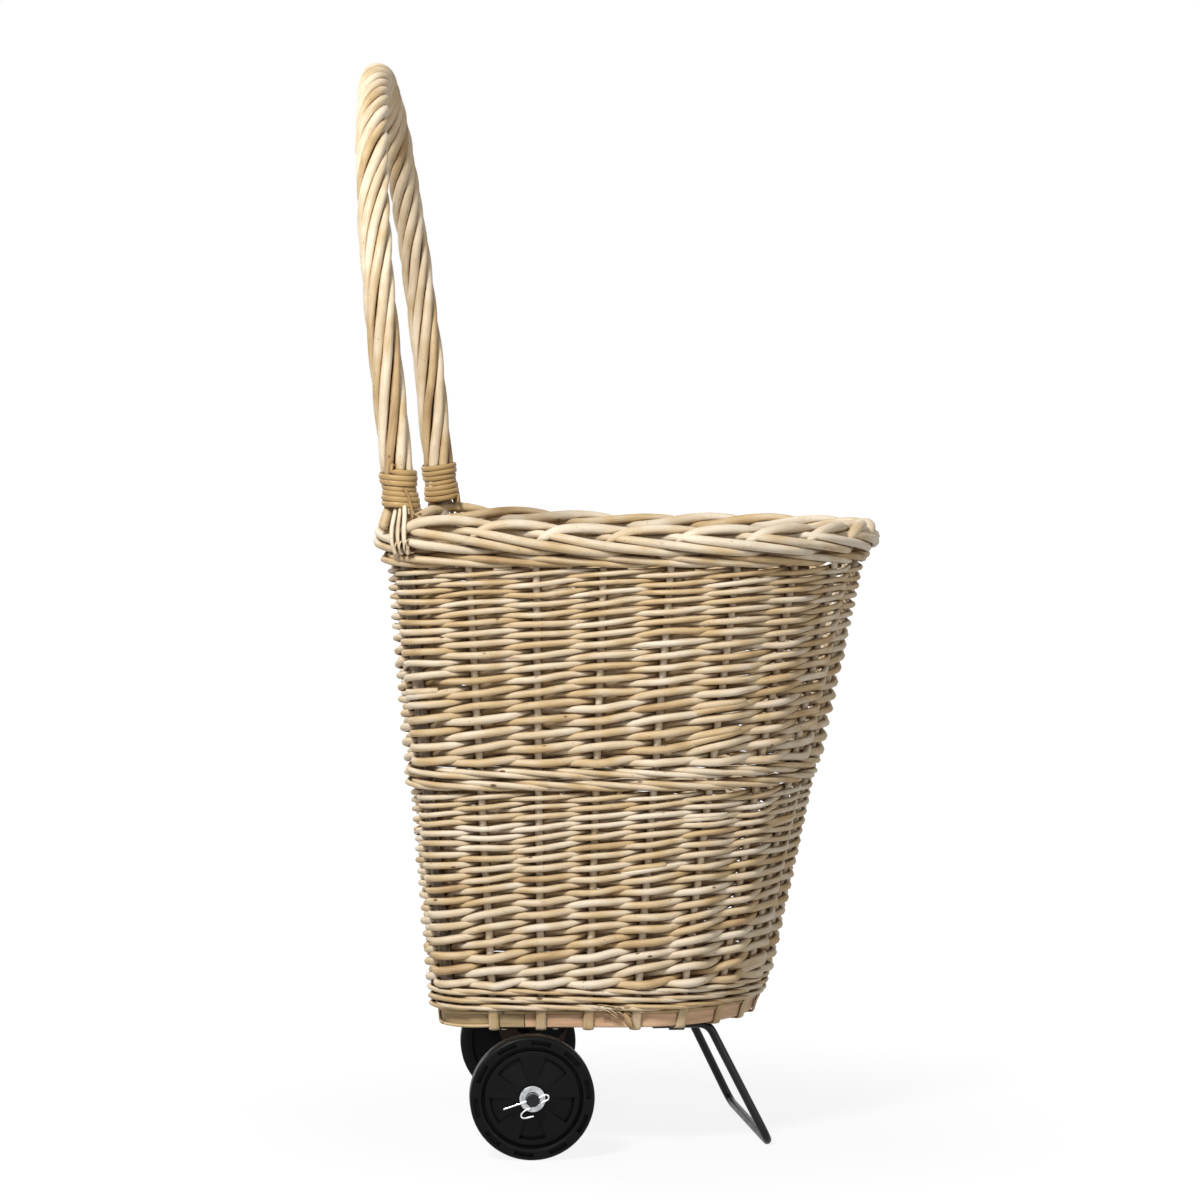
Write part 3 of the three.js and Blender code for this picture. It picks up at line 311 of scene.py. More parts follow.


class Finish:
    """A procedural material under construction: small helpers round its node tree."""

    def __init__(self, name, roughness, metallic=0.0, specular=0.5):
        self.material = bpy.data.materials.new(name)
        self.material.use_nodes = True
        self.tree = self.material.node_tree
        self.shader = self.tree.nodes["Principled BSDF"]
        self.shader.inputs["Roughness"].default_value = roughness
        self.shader.inputs["Metallic"].default_value = metallic
        self.shader.inputs["Specular IOR Level"].default_value = specular

    def node(self, kind, links=None, **settings):
        """Add a node, set its properties and its unlinked inputs, and link the rest."""
        made = self.tree.nodes.new(kind)
        for name, value in settings.items():
            setattr(made, name, value)
        for socket, value in (links or {}).items():
            if isinstance(value, bpy.types.NodeSocket):
                self.tree.links.new(value, made.inputs[socket])
            else:
                made.inputs[socket].default_value = value
        return made

    def place(self):
        """Where on the object a spot lies."""
        return self.node("ShaderNodeTexCoord").outputs["Object"]

    def attribute(self, name, output):
        """A value that a rod carries at each of its points."""
        return self.node("ShaderNodeAttribute", attribute_name=name).outputs[output]

    def stretched(self, source, scale):
        """The source coordinates, scaled by axis."""
        return self.node("ShaderNodeMapping", {"Vector": source, "Scale": scale}).outputs["Vector"]

    def noise(self, vector, scale, detail=3.0, roughness=0.55):
        """Noise factor on these coordinates."""
        links = {"Vector": vector, "Scale": scale, "Detail": detail, "Roughness": roughness}
        return self.node("ShaderNodeTexNoise", links).outputs["Fac"]

    def cells(self, vector, scale):
        """Distance to the nearest of many scattered spots."""
        return self.node("ShaderNodeTexVoronoi", {"Vector": vector, "Scale": scale}).outputs["Distance"]

    def ramp(self, factor, *stops):
        """Colour ramp of (place, colour) stops."""
        ramp = self.node("ShaderNodeValToRGB", {"Fac": factor})
        elements = ramp.color_ramp.elements
        while len(elements) < len(stops):
            elements.new(0.5)
        for element, (place, colour) in zip(elements, stops):
            element.position = place
            element.color = (*colour, 1)
        return ramp.outputs["Color"]

    def blend(self, factor, a, b, how="MIX"):
        """Blend two colours; each may be a socket or a plain colour."""
        node = self.node("ShaderNodeMix", data_type="RGBA", blend_type=how)
        # the node repeats its sockets' names for each kind of data, so they go by number
        share, first, second, result = node.inputs[0], node.inputs[6], node.inputs[7], node.outputs[2]
        for socket, value in ((share, factor), (first, a), (second, b)):
            if isinstance(value, bpy.types.NodeSocket):
                self.tree.links.new(value, socket)
            else:
                socket.default_value = value if socket == share else (*value, 1)
        return result

    def between(self, value, low, high, to_low=0.0, to_high=1.0):
        """Map a value from one range to another, kept inside it."""
        links = {"Value": value, "From Min": low, "From Max": high, "To Min": to_low, "To Max": to_high}
        return self.node("ShaderNodeMapRange", links).outputs["Result"]

    def with_painted_crevice_shade(self, colour, reach):
        """The colour darkened by painted brown shade where rods meet, found by ambient occlusion within
        this reach.
        """
        open_sky = self.node("ShaderNodeAmbientOcclusion", {"Distance": reach}, samples=5).outputs["AO"]
        return self.blend(1.0, colour, self.ramp(open_sky, *PAINTED_CREVICE_SHADE), "MULTIPLY")

    def math(self, operation, a, b):
        """One arithmetic step."""
        return self.node("ShaderNodeMath", {0: a, 1: b}, operation=operation).outputs["Value"]

    def wear(self, colour, roughness, height, depth, strength):
        """Plug the colour, the roughness if it varies, and a bump height into the shader."""
        self.tree.links.new(colour, self.shader.inputs["Base Color"])
        if roughness is not None:
            self.tree.links.new(roughness, self.shader.inputs["Roughness"])
        bump = self.node("ShaderNodeBump", {"Height": height, "Distance": depth, "Strength": strength})
        self.tree.links.new(bump.outputs["Normal"], self.shader.inputs["Normal"])
        return self.material


def rod_finish(name, pale, tan, dark, roughness=0.5, knots=0.035, crevice_shade_reach=13 * MM):
    """Peeled rod: streaks along the grain, a shade of its own, knots, bark stains and painted shade where
    rods meet.
    """
    finish = Finish(name, roughness, specular=0.22)
    grain = finish.attribute("grain", "Vector")
    shade = finish.attribute("shade", "Fac")
    streaks = finish.noise(finish.stretched(grain, (1, 1, 0.05)), 900, 4)
    drift = finish.noise(finish.stretched(grain, (1, 1, 0.6)), 45, 2)
    tone = finish.math("ADD", shade, finish.between(drift, 0.3, 0.7, -0.22, 0.22))
    tone = finish.math("ADD", tone, finish.between(streaks, 0.3, 0.75, -0.12, 0.16))
    colour = finish.ramp(tone, (0.0, pale), (0.5, tan), (1.0, dark))
    knot = finish.cells(finish.stretched(grain, (1, 1, 0.55)), 42)
    knot = finish.between(knot, knots, knots * 1.9, 1, 0)
    colour = finish.blend(knot, colour, KNOT_BROWN)
    patches = finish.noise(finish.stretched(grain, (1, 1, 0.35)), 60, 3, 0.6)
    colour = finish.blend(finish.between(patches, 0.68, 0.80, 0, 0.75), colour, BARK_STAIN)
    dots = finish.cells(finish.stretched(grain, (1, 1, 0.8)), 210)
    rare = finish.between(finish.noise(grain, 25, 2), 0.46, 0.58)
    dots = finish.math("MULTIPLY", finish.between(dots, 0.07, 0.13, 0.85, 0), rare)
    colour = finish.blend(dots, colour, DOT_BROWN)
    # painted shade: the rods go dark brown in the crevices between them
    colour = finish.with_painted_crevice_shade(colour, crevice_shade_reach)
    rough = finish.between(streaks, 0.3, 0.8, roughness - 0.08, roughness + 0.14)
    height = finish.math("SUBTRACT", streaks, finish.math("MULTIPLY", knot, 0.6))
    return finish.wear(colour, rough, height, 0.35 * MM, 0.45)


def bark_finish(name, light, dark):
    """Stick with its bark on: long fissures and pale patches."""
    finish = Finish(name, 0.8, specular=0.25)
    grain = finish.attribute("grain", "Vector")
    fissures = finish.noise(finish.stretched(grain, (1, 1, 0.12)), 420, 6, 0.65)
    patches = finish.noise(grain, 60, 3)
    colour = finish.ramp(finish.math("ADD", fissures, finish.between(patches, 0.3, 0.7, -0.15, 0.15)),
                         (0.3, dark), (0.55, light), (0.75, [min(c * 1.5, 1) for c in light]))
    return finish.wear(colour, None, fissures, 0.9 * MM, 0.8)


def board_finish(name, pale, dark, stretch, plies=0.0):
    """Flat wood: long grain lines along one axis, and the plies on a board's edge."""
    finish = Finish(name, 0.7, specular=0.25)
    place = finish.place()
    lines = finish.noise(finish.stretched(place, stretch), 220, 6, 0.6)
    broad = finish.noise(finish.stretched(place, stretch), 30, 3, 0.5)
    tone = finish.math("ADD", lines, finish.between(broad, 0.3, 0.7, -0.2, 0.2))
    middle = [mix(a, b, 0.6) for a, b in zip(dark, pale)]
    colour = finish.ramp(tone, (0.25, dark), (0.5, middle), (0.75, pale))
    if plies:
        level = finish.node("ShaderNodeSeparateXYZ", {"Vector": place}).outputs["Z"]
        layer = finish.math("PINGPONG", level, plies)
        colour = finish.blend(finish.between(layer, 0, plies, 0, 0.25), colour, dark)
    return finish.wear(colour, None, lines, 0.3 * MM, 0.5)


def plastic_finish(name, colour, roughness):
    """Moulded plastic: fine grain, faint scuffs and dust that dulls the gloss."""
    finish = Finish(name, roughness, specular=0.1)
    place = finish.place()
    grain = finish.noise(place, 1800, 2)
    scuffs = finish.noise(finish.stretched(place, (1, 0.35, 1.4)), 70, 6, 0.7)
    dust = finish.between(scuffs, 0.55, 0.8, 0, 0.3)
    shade = finish.blend(dust, colour, [c * 1.9 + 0.008 for c in colour])
    rough = finish.between(scuffs, 0.3, 0.75, roughness - 0.06, roughness + 0.16)
    return finish.wear(shade, rough, grain, 0.06 * MM, 0.25)


def paint_finish(name, colour, roughness, chip):
    """Painted steel: slight orange peel, worn and chipped here and there."""
    finish = Finish(name, roughness, specular=0.22)
    place = finish.place()
    peel = finish.noise(place, 900, 2)
    wear = finish.noise(place, 130, 6, 0.7)
    shade = finish.blend(finish.between(wear, 0.66, 0.72, 0, 0.8), colour, chip)
    rough = finish.between(wear, 0.35, 0.75, roughness, roughness + 0.18)
    return finish.wear(shade, rough, peel, 0.08 * MM, 0.3)


def metal_finish(name, bright, dull, roughness, ends=0.0):
    """Plated steel: cloudy plate with fine scratches, and ends painted near black beyond this far across,
    in place of a dark reflection.
    """
    finish = Finish(name, roughness, metallic=1.0)
    place = finish.place()
    clouds = finish.noise(place, 160, 4, 0.6)
    scratches = finish.noise(place, 500, 5, 0.7)
    colour = finish.ramp(clouds, (0.35, dull), (0.62, bright))
    if ends:
        across = finish.node("ShaderNodeSeparateXYZ", {"Vector": place}).outputs["X"]
        beyond = finish.between(finish.math("ABSOLUTE", across, 0), ends - MM, ends)
        # painted dark reflection on the axle's ends
        colour = finish.blend(beyond, colour, PAINTED_DARK_REFLECTION)
    rough = finish.between(scratches, 0.3, 0.75, roughness - 0.06, roughness + 0.2)
    return finish.wear(colour, rough, scratches, 0.05 * MM, 0.35)


FINISHES = {}  # every material of the cart by its name


def make_finishes(colours):
    """Make every material of the cart from the user's colours."""
    cream, tan, dark, cane, bark = (
        tuple(colour) for colour in (colours.cream, colours.tan, colours.dark, colours.cane, colours.bark))
    # painted light: the handle's willow is a paler copy of the basket's
    palest = [min(part * tint, 1) for part, tint in zip(cream, PAINTED_HANDLE_LIGHT)]
    FINISHES.update({
        "woven_willow": rod_finish("woven_willow", cream, tan, dark),
        "wale_willow": rod_finish("wale_willow", cream, tan, dark, knots=0.045),
        "handle_willow": rod_finish("handle_willow", palest, tan, dark, knots=0.03),
        # the painted shade on a stake reaches only 5 mm into the crevices round it
        "stake_willow": rod_finish("stake_willow", cream, tan, dark, knots=0.02, crevice_shade_reach=5 * MM),
        "binding_cane": rod_finish("binding_cane", cane, [c * 0.72 for c in cane], [c * 0.4 for c in cane],
                                   roughness=0.4, knots=0.01),
        "bow_bark": bark_finish("bow_bark", bark, [c * 0.35 for c in bark]),
        "base_board": board_finish("base_board", (0.52, 0.36, 0.23), (0.30, 0.19, 0.11), (0.06, 1, 1),
                                   plies=2 * MM),
        "base_strip": board_finish("base_strip", (0.85, 0.56, 0.355), (0.49, 0.285, 0.16), (0.12, 0.12, 1)),
        "back_strip": board_finish("back_strip", (0.56, 0.42, 0.23), (0.32, 0.21, 0.11), (0.12, 0.12, 1)),
        "wheel_plastic": plastic_finish("wheel_plastic", tuple(colours.plastic), 0.36),
        "leg_steel": paint_finish("leg_steel", (0.009, 0.009, 0.010), 0.3, (0.05, 0.045, 0.04)),
        "bracket_steel": paint_finish("bracket_steel", (0.035, 0.018, 0.010), 0.5, (0.12, 0.06, 0.03)),
        "zinc_steel": metal_finish("zinc_steel", (0.66, 0.67, 0.68), (0.40, 0.41, 0.42), 0.38),
        "axle_steel": metal_finish("axle_steel", (0.34, 0.34, 0.35), (0.16, 0.16, 0.17), 0.42, AXLE_DARK),
        "spring_wire": metal_finish("spring_wire", (0.80, 0.81, 0.82), (0.60, 0.61, 0.62), 0.2),
    })


# ---------------------------------------------------------------- settings
class CartColours(PropertyGroup):
    """Colours that a user would change."""
    cream: FloatVectorProperty(
        name="Cream willow", description="Palest peeled willow", subtype="COLOR", size=3,
        default=(0.81, 0.70, 0.545), min=0, max=1)
    tan: FloatVectorProperty(
        name="Tan willow", description="Middle shade of the peeled willow", subtype="COLOR", size=3,
        default=(0.62, 0.445, 0.235), min=0, max=1)
    dark: FloatVectorProperty(
        name="Brown willow", description="Darkest shade of the peeled willow", subtype="COLOR", size=3,
        default=(0.33, 0.18, 0.083), min=0, max=1)
    cane: FloatVectorProperty(
        name="Binding cane", description="Split cane round the handle's feet", subtype="COLOR", size=3,
        default=(0.61, 0.40, 0.17), min=0, max=1)
    bark: FloatVectorProperty(
        name="Bark", description="Bark of the handle's bow", subtype="COLOR", size=3,
        default=(0.38, 0.31, 0.24), min=0, max=1)
    plastic: FloatVectorProperty(
        name="Wheels", description="Moulded plastic of the wheels", subtype="COLOR", size=3,
        default=(0.004, 0.004, 0.0045), min=0, max=1)


class CartSizes(PropertyGroup):
    """Sizes that a user would change."""
    butt: FloatProperty(
        name="Weaver butt", description="Radius of a weaving rod at its thick end",
        default=3.95 * MM, min=0.002, max=0.006, unit="LENGTH", subtype="DISTANCE")
    tip: FloatProperty(
        name="Weaver tip", description="Radius of a weaving rod at its thin end",
        default=2.2 * MM, min=0.001, max=0.004, unit="LENGTH", subtype="DISTANCE")
    border_rod: FloatProperty(
        name="Border rod", description="Radius of the rods in the border",
        default=4.9 * MM, min=0.002, max=0.006, unit="LENGTH", subtype="DISTANCE")
    handle_rod: FloatProperty(
        name="Handle rod", description="Radius of the rods laid round the handle",
        default=4.65 * MM, min=0.002, max=0.006, unit="LENGTH", subtype="DISTANCE")
    seed: IntProperty(
        name="Seed", description="Picks another set of small irregularities", default=7, min=0)


class StageSettings(PropertyGroup):
    """Light of the studio."""
    key: FloatProperty(
        name="Key light", description="Power of the large soft light", default=147.0, min=0, unit="POWER")
    fill: FloatProperty(
        name="Fill", description="Strength of the surrounding light", default=0.12, min=0, subtype="FACTOR")


# ---------------------------------------------------------------- basket
BAND_LEVELS = (118.15 * MM, 134.15 * MM)
BOTTOM_WALE = (134 * MM, 156 * MM)
LOWER_WEAVE = (154.6 * MM, 338.6 * MM)
MIDDLE_WALE = (339 * MM, 361 * MM)
UPPER_WEAVE = (361.3 * MM, 545 * MM)
TOP_WALE = (544.5 * MM, 558.5 * MM)
FILL = 0.55  # share of its pitch that a weaving rod fills
WEAVE_STEPS = 7  # points on a rod between two uprights
LATE = 0.1  # how far past its upright a rod stands furthest out, in gaps
JOINED = 0.6  # share of the rods that are pieced from two


class LOGCART_OT_base(Operator):
    """Dress the base board and make the split-wood strips and the trim rod round its edge"""
    bl_idname = "log_cart.base"
    bl_label = "Base"

    STEPS = 10  # sections of a strip or of the trim rod in a gap
    SOFT, THICK = 0.9 * MM, 5 * MM  # a strip's softened edge and its thickness
    TRIM_RADIUS, TRIM_DROP, TRIM_OUT = 2.0 * MM, 1.2 * MM, 0.9 * MM
    HOOK_RADIUS, HOOK_OUT = 1.6 * MM, 1.4 * MM
    # turn and level of the rod that hooks down round the strip's end at the right back corner
    HOOK = ((-0.62, 133 * MM), (-0.6, 127 * MM), (-0.52, 121.8 * MM), (-0.3, 119.9 * MM), (0.0, 119.7 * MM),
            (0.3, 119.7 * MM), (0.6, 119.8 * MM), (0.92, 120.2 * MM))
    FIBRES, FIBRE, FRAY_TURN = 14, 0.75 * MM, 3.45  # how many split ends, their radius and their place
    RAG, RAG_TURN = (2 * MM, 3 * MM, 4 * MM, 3.4 * MM, 2 * MM), 3.75  # half widths down the rag, its place

    def strip(self, name, start, end, finish, node):
        """A bent flat strip with softened edges, from one turn of the wall to another."""
        soft = self.SOFT
        low, high = BAND_LEVELS
        inner, outer = -self.THICK, 0.0
        section = [(inner, low + soft), (inner + soft, low), (outer - soft, low), (outer, low + soft),
                   (outer, high - soft), (outer - soft, high), (inner + soft, high), (inner, high - soft)]
        count, around = int((end - start) * self.STEPS), len(section)
        points, faces = [], []
        for i in range(count + 1):
            turn = mix(start, end, i / count)
            points += [on_wall(turn, level, out) for out, level in section]
        for i in range(count):
            for k in range(around):
                near, far = i * around + k, i * around + (k + 1) % around
                faces.append((near, far, far + around, near + around))
        faces.append(tuple(reversed(range(around))))
        faces.append(tuple(count * around + k for k in range(around)))
        new_piece(name, points, faces, finish, [node], crease=40)

    def execute(self, context):
        finish_solid("base_board", "base_board")
        joint = BAND_JOINT_Y + PLACE.y
        turns = [n / 100 for n in range(0, LEFT_FOOT * 100)]
        level = BAND_LEVELS[0]
        right = next(turn for turn in turns if on_wall(turn, level).y < joint)
        left = next(turn for turn in reversed(turns) if on_wall(turn, level).y < joint)
        seam = 0.01
        self.strip("strip_front", right + seam, left - seam, FINISHES["base_strip"], "base_band_front")
        self.strip("strip_back", left + seam, right - seam + UPRIGHTS, FINISHES["back_strip"],
                   "base_band_back")
        trim = RodBundle(7, 5)
        for start, end in ((right - 0.4, left + 0.2), (left + 0.1, right - 0.5 + UPRIGHTS)):
            count = int((end - start) * self.STEPS)
            path = [on_wall(mix(start, end, i / count), BAND_LEVELS[1] - self.TRIM_DROP, self.TRIM_OUT)
                    for i in range(count + 1)]
            trim.add(path, self.TRIM_RADIUS, 0.55, across=UP)
        hook = [on_wall(*smooth_marks(self.HOOK, i / 4), self.HOOK_OUT)
                for i in range(4 * (len(self.HOOK) - 1) + 1)]
        trim.add(hook, self.HOOK_RADIUS, 0.5, across=UP.cross(way_out(-0.2)))
        trim.piece("trim_rod", FINISHES["woven_willow"], "woven_willow")
        self.splinters(context.scene.cart_sizes.seed)
        return {"FINISHED"}

    def splinters(self, seed):
        """The split ends that hang loose over the front strip, and a flat rag of bark among them."""
        rng = random.Random(seed + 5)
        frayed = RodBundle(5, 6)
        low, high = BAND_LEVELS
        for fibre in range(self.FIBRES):
            start = self.FRAY_TURN + rng.uniform(-0.3, 0.3)
            level = mix(high, high + 7 * MM, rng.random())
            ahead, drop = rng.uniform(0.2, 0.75), rng.uniform(1, 15) * MM
            lift = rng.uniform(5, 9) * MM
            path = []
            for n in range(6):
                curl = 1.5 * MM * math.sin(n + fibre)
                path.append(on_wall(start + ahead * n / 5, level - drop * (n / 5) ** 2, lift + curl))
            radii = [self.FIBRE * (1 - 0.12 * n) for n in range(6)]
            frayed.add(path, radii, rng.uniform(0.2, 0.8), flat=0.6)
        rag = [on_wall(self.RAG_TURN + 0.04 * n, high - (2 + 3.2 * n) * MM, (5.5 + 0.5 * n) * MM)
               for n in range(len(self.RAG))]
        frayed.add(rag, self.RAG, 0.85, across=UP, flat=0.35)
        frayed.piece("frayed_ends", FINISHES["stake_willow"], "stake_willow")


class LOGCART_OT_stakes(Operator):
    """Make the upright stakes with their feet wrapped over the base strip"""
    bl_idname = "log_cart.stakes"
    bl_label = "Stakes"

    # outwards, level, half width and half thickness of a stake's foot, from the fold under the board up
    FOOT = ((-8, 116.7, 5.0, 1.0), (-1, 116.7, 5.0, 1.1), (1.5, 117.4, 4.7, 1.1), (2.0, 121, 4.6, 1.1),
            (2.5, 127, 4.6, 1.1), (3.8, 133, 4.5, 1.3), (2.6, 138, 4.2, 2.0), (0.8, 144, 3.8, 3.1),
            (0, 152, 3.6, 3.6))
    FOOT_STEPS, ROD_STEPS = 3, 12  # points between two marks of the foot, and on the rod above it
    WIDTH_TOP, TOP = 140 * MM, 556 * MM  # a foot has its own width up to the first
    TAPER = 0.1  # share of its radius that a stake loses towards the top

    def execute(self, context):
        rng = random.Random(context.scene.cart_sizes.seed + 3)
        foot = [[value * MM for value in mark] for mark in self.FOOT]
        last = self.FOOT_STEPS * (len(foot) - 1)
        number = 0
        for turn in range(1, UPRIGHTS):
            if turn == LEFT_FOOT:
                continue
            number += 1
            bundle = RodBundle(10, 100 + turn)
            wide = rng.uniform(0.9, 1.1)
            path, radii, flats, shades = [], [], [], []
            tone = rng.uniform(0.0, 0.25)
            for step in range(last + 1):
                out, level, half, thick = smooth_marks(foot, step / self.FOOT_STEPS)
                path.append(on_wall(turn, level, out))
                radii.append(half * (wide if level < self.WIDTH_TOP else 1))
                flats.append(thick / half)
                shades.append(tone + 0.35 * min((last - step) / 8, 1))
            for step in range(1, self.ROD_STEPS + 1):
                path.append(on_wall(turn, mix(foot[-1][1], self.TOP, step / self.ROD_STEPS)))
                radii.append(STAKE_RADIUS * (1 - self.TAPER * step / self.ROD_STEPS))
                flats.append(1.0)
                shades.append(tone)
            ahead = way_out(turn).cross(UP)
            bundle.add(path, radii, shades, across=ahead, flat=flats)
            name = f"stake_{number:02d}"
            bundle.piece(f"{name}_rod", FINISHES["stake_willow"], "stake_willow", name)
        return {"FINISHED"}


class LOGCART_OT_weave(Operator):
    """Weave the two tall bands: from each upright a rod climbs to the right, thick end first"""
    bl_idname = "log_cart.weave"
    bl_label = "Woven bands"

    # how the rows have settled: waves round the basket, half a wave's height, start and size in mm
    WAVES = ((3, 55, 0.4, 1.3), (5, 90, 2.1, 1.0), (8, 41, 4.4, 0.8), (11, 73, 0.9, 0.7))
    SHADES = (0.0, 0.62, 0.18)  # palest, darkest and most common rod
    LEAD, TAIL = 1.1, 0.35  # gaps that a rod runs level before its climb and after it
    OVERLAP = 0.85  # gaps that a pieced rod's second part runs beside the first
    TUCK, TUCK_GAPS = 1.5, 1.6  # how low the second part starts, in radii, and where it has come level

    def settle(self, turn, level):
        """How far the rows have settled up or down at a spot, alike for neighbouring rods."""
        around = 2 * math.pi * turn / UPRIGHTS
        shift = 0
        for times, span, start, size in self.WAVES:
            swing = math.sin(times * around + start)
            shift += size * MM * swing * math.sin(level / MM / span * math.pi + start * 1.7)
        return shift

    def band(self, name, low, high, sizes, seed):
        """One band: its rows get closer as the rods taper, and each rod climbs through all of them."""
        rng = random.Random(seed)
        levels = [low + sizes.butt]
        while levels[-1] < high - sizes.tip:
            radius = mix(sizes.butt, sizes.tip, (levels[-1] - low) / (high - low))
            levels.append(levels[-1] + radius / FILL)
        stretch = (high - sizes.tip - levels[0]) / (levels[-1] - levels[0])
        levels = [levels[0] + (level - levels[0]) * stretch for level in levels]
        last = len(levels) - 1
        bundle = RodBundle(8, seed)
        for rod in range(UPRIGHTS):
            rise = wander(rng, 2 * last + 6, 0.45, 2.0)
            swell = wander(rng, last + 3, 1.0)
            thick = rng.uniform(0.94, 1.08)
            base_shade = rng.triangular(*self.SHADES)
            tint = wander(rng, last + 3, 0.1)
            marks = [-self.LEAD - rng.uniform(0, 0.2), last + self.TAIL]
            if rng.random() < JOINED:
                marks.insert(1, 2 * rng.randint(1, last // 2 - 1) + rng.uniform(0.25, 0.45))
            for part, (first, final) in enumerate(zip(marks, marks[1:])):
                if part:
                    first -= self.OVERLAP
                    base_shade = rng.triangular(*self.SHADES)
                path, radii, shades = [], [], []
                count = int((final - first) * WEAVE_STEPS)
                for i in range(count + 1):
                    step = mix(first, final, i / count)
                    climb = min(max(step, 0), last)
                    radius = mix(sizes.butt, sizes.tip, climb / last) * thick
                    level = smooth_keys(levels, climb)
                    level += rise(2 * (step + 1)) * radius * (1 if 0 < climb < last else 0.1)
                    if part:
                        level -= self.TUCK * radius * max(0, 1 - (step - first) / self.TUCK_GAPS)
                    turn = rod + step
                    if 0 < climb < last:
                        level += self.settle(turn, level) * min(climb, last - climb, 2) / 2
                    hold = mix(upright_radius(math.floor(turn)), upright_radius(math.ceil(turn)),
                               turn - math.floor(turn))
                    bulge = (hold + radius) * (1.03 + 0.05 * swell(step + 1))
                    # a wave with straighter flanks than a cosine, as high as the bulge
                    phase = math.pi * (step - LATE)
                    out = bulge * 0.9 * (math.cos(phase) + math.cos(3 * phase) / 9)
                    path.append(on_wall(turn, level, out))
                    radii.append(radius * (1 + 0.04 * swell(step * 0.7 + 1)))
                    shades.append(base_shade + tint(step + 1))
                bundle.add(path, radii, shades, across=UP)
        bundle.piece(f"{name}_rods", FINISHES["woven_willow"], "woven_willow", name)

    def execute(self, context):
        sizes = context.scene.cart_sizes
        self.band("lower_weave", *LOWER_WEAVE, sizes, sizes.seed + 11)
        self.band("upper_weave", *UPPER_WEAVE, sizes, sizes.seed + 12)
        return {"FINISHED"}


class LOGCART_OT_wales(Operator):
    """Make the three-rod wales that part the bands: each rod passes two uprights and dives behind one"""
    bl_idname = "log_cart.wales"
    bl_label = "Wales"

    OUT = (1.0, 1.08, 1.0, 0.15, -1.0, 0.15)  # at every half gap, as a share of the rod's bulge
    RISE = (0.50, 0.0, -0.50, -0.74, 0.0, 0.74)  # as a share of the rod's thickness
    STAGGER = 1.3  # gaps by which each round's strokes start before those of the round below

    def wale(self, name, low, high, rounds, radius, seed):
        """One wale: each round is a rope of three rods, drawn as one rod that goes round three times."""
        rng = random.Random(seed)
        bundle = RodBundle(8, seed)
        spread = (high - low) / rounds / 2 - radius
        for n in range(rounds):
            middle = mix(low, high, (n + 0.5) / rounds)
            shade = [rng.triangular(0.05, 0.7, 0.3) for _ in range(UPRIGHTS)]
            thick = [rng.uniform(0.92, 1.08) for _ in range(UPRIGHTS)]
            drift = [rng.uniform(-0.12, 0.12) for _ in range(UPRIGHTS)]
            path, radii, shades = [], [], []
            for i in range(3 * UPRIGHTS * WEAVE_STEPS):
                turn = i / WEAVE_STEPS
                phase = (turn + n * self.STAGGER) % 3
                stroke = (turn + n * self.STAGGER + 1) / 3
                size = radius * smooth_keys(thick, stroke, closed=True)
                hold = upright_radius(round(turn))
                out = (hold + size) * smooth_keys(self.OUT, phase * 2, closed=True)
                lift = smooth_keys(self.RISE, phase * 2, closed=True)
                lift += smooth_keys(drift, stroke, closed=True)
                path.append(on_wall(turn, middle + lift / self.RISE[-1] * spread, out))
                radii.append(size)
                shades.append(shade[int(stroke) % UPRIGHTS])
            bundle.add(path, radii, shades, across=UP, closed=True)
        bundle.piece(f"{name}_rods", FINISHES["wale_willow"], "wale_willow", name)

    def execute(self, context):
        seed = context.scene.cart_sizes.seed
        self.wale("bottom_wale", *BOTTOM_WALE, 3, 2.2 * MM, seed + 21)
        self.wale("middle_wale", *MIDDLE_WALE, 2, 2.7 * MM, seed + 22)
        self.wale("top_wale", *TOP_WALE, 1, 3.3 * MM, seed + 23)
        return {"FINISHED"}


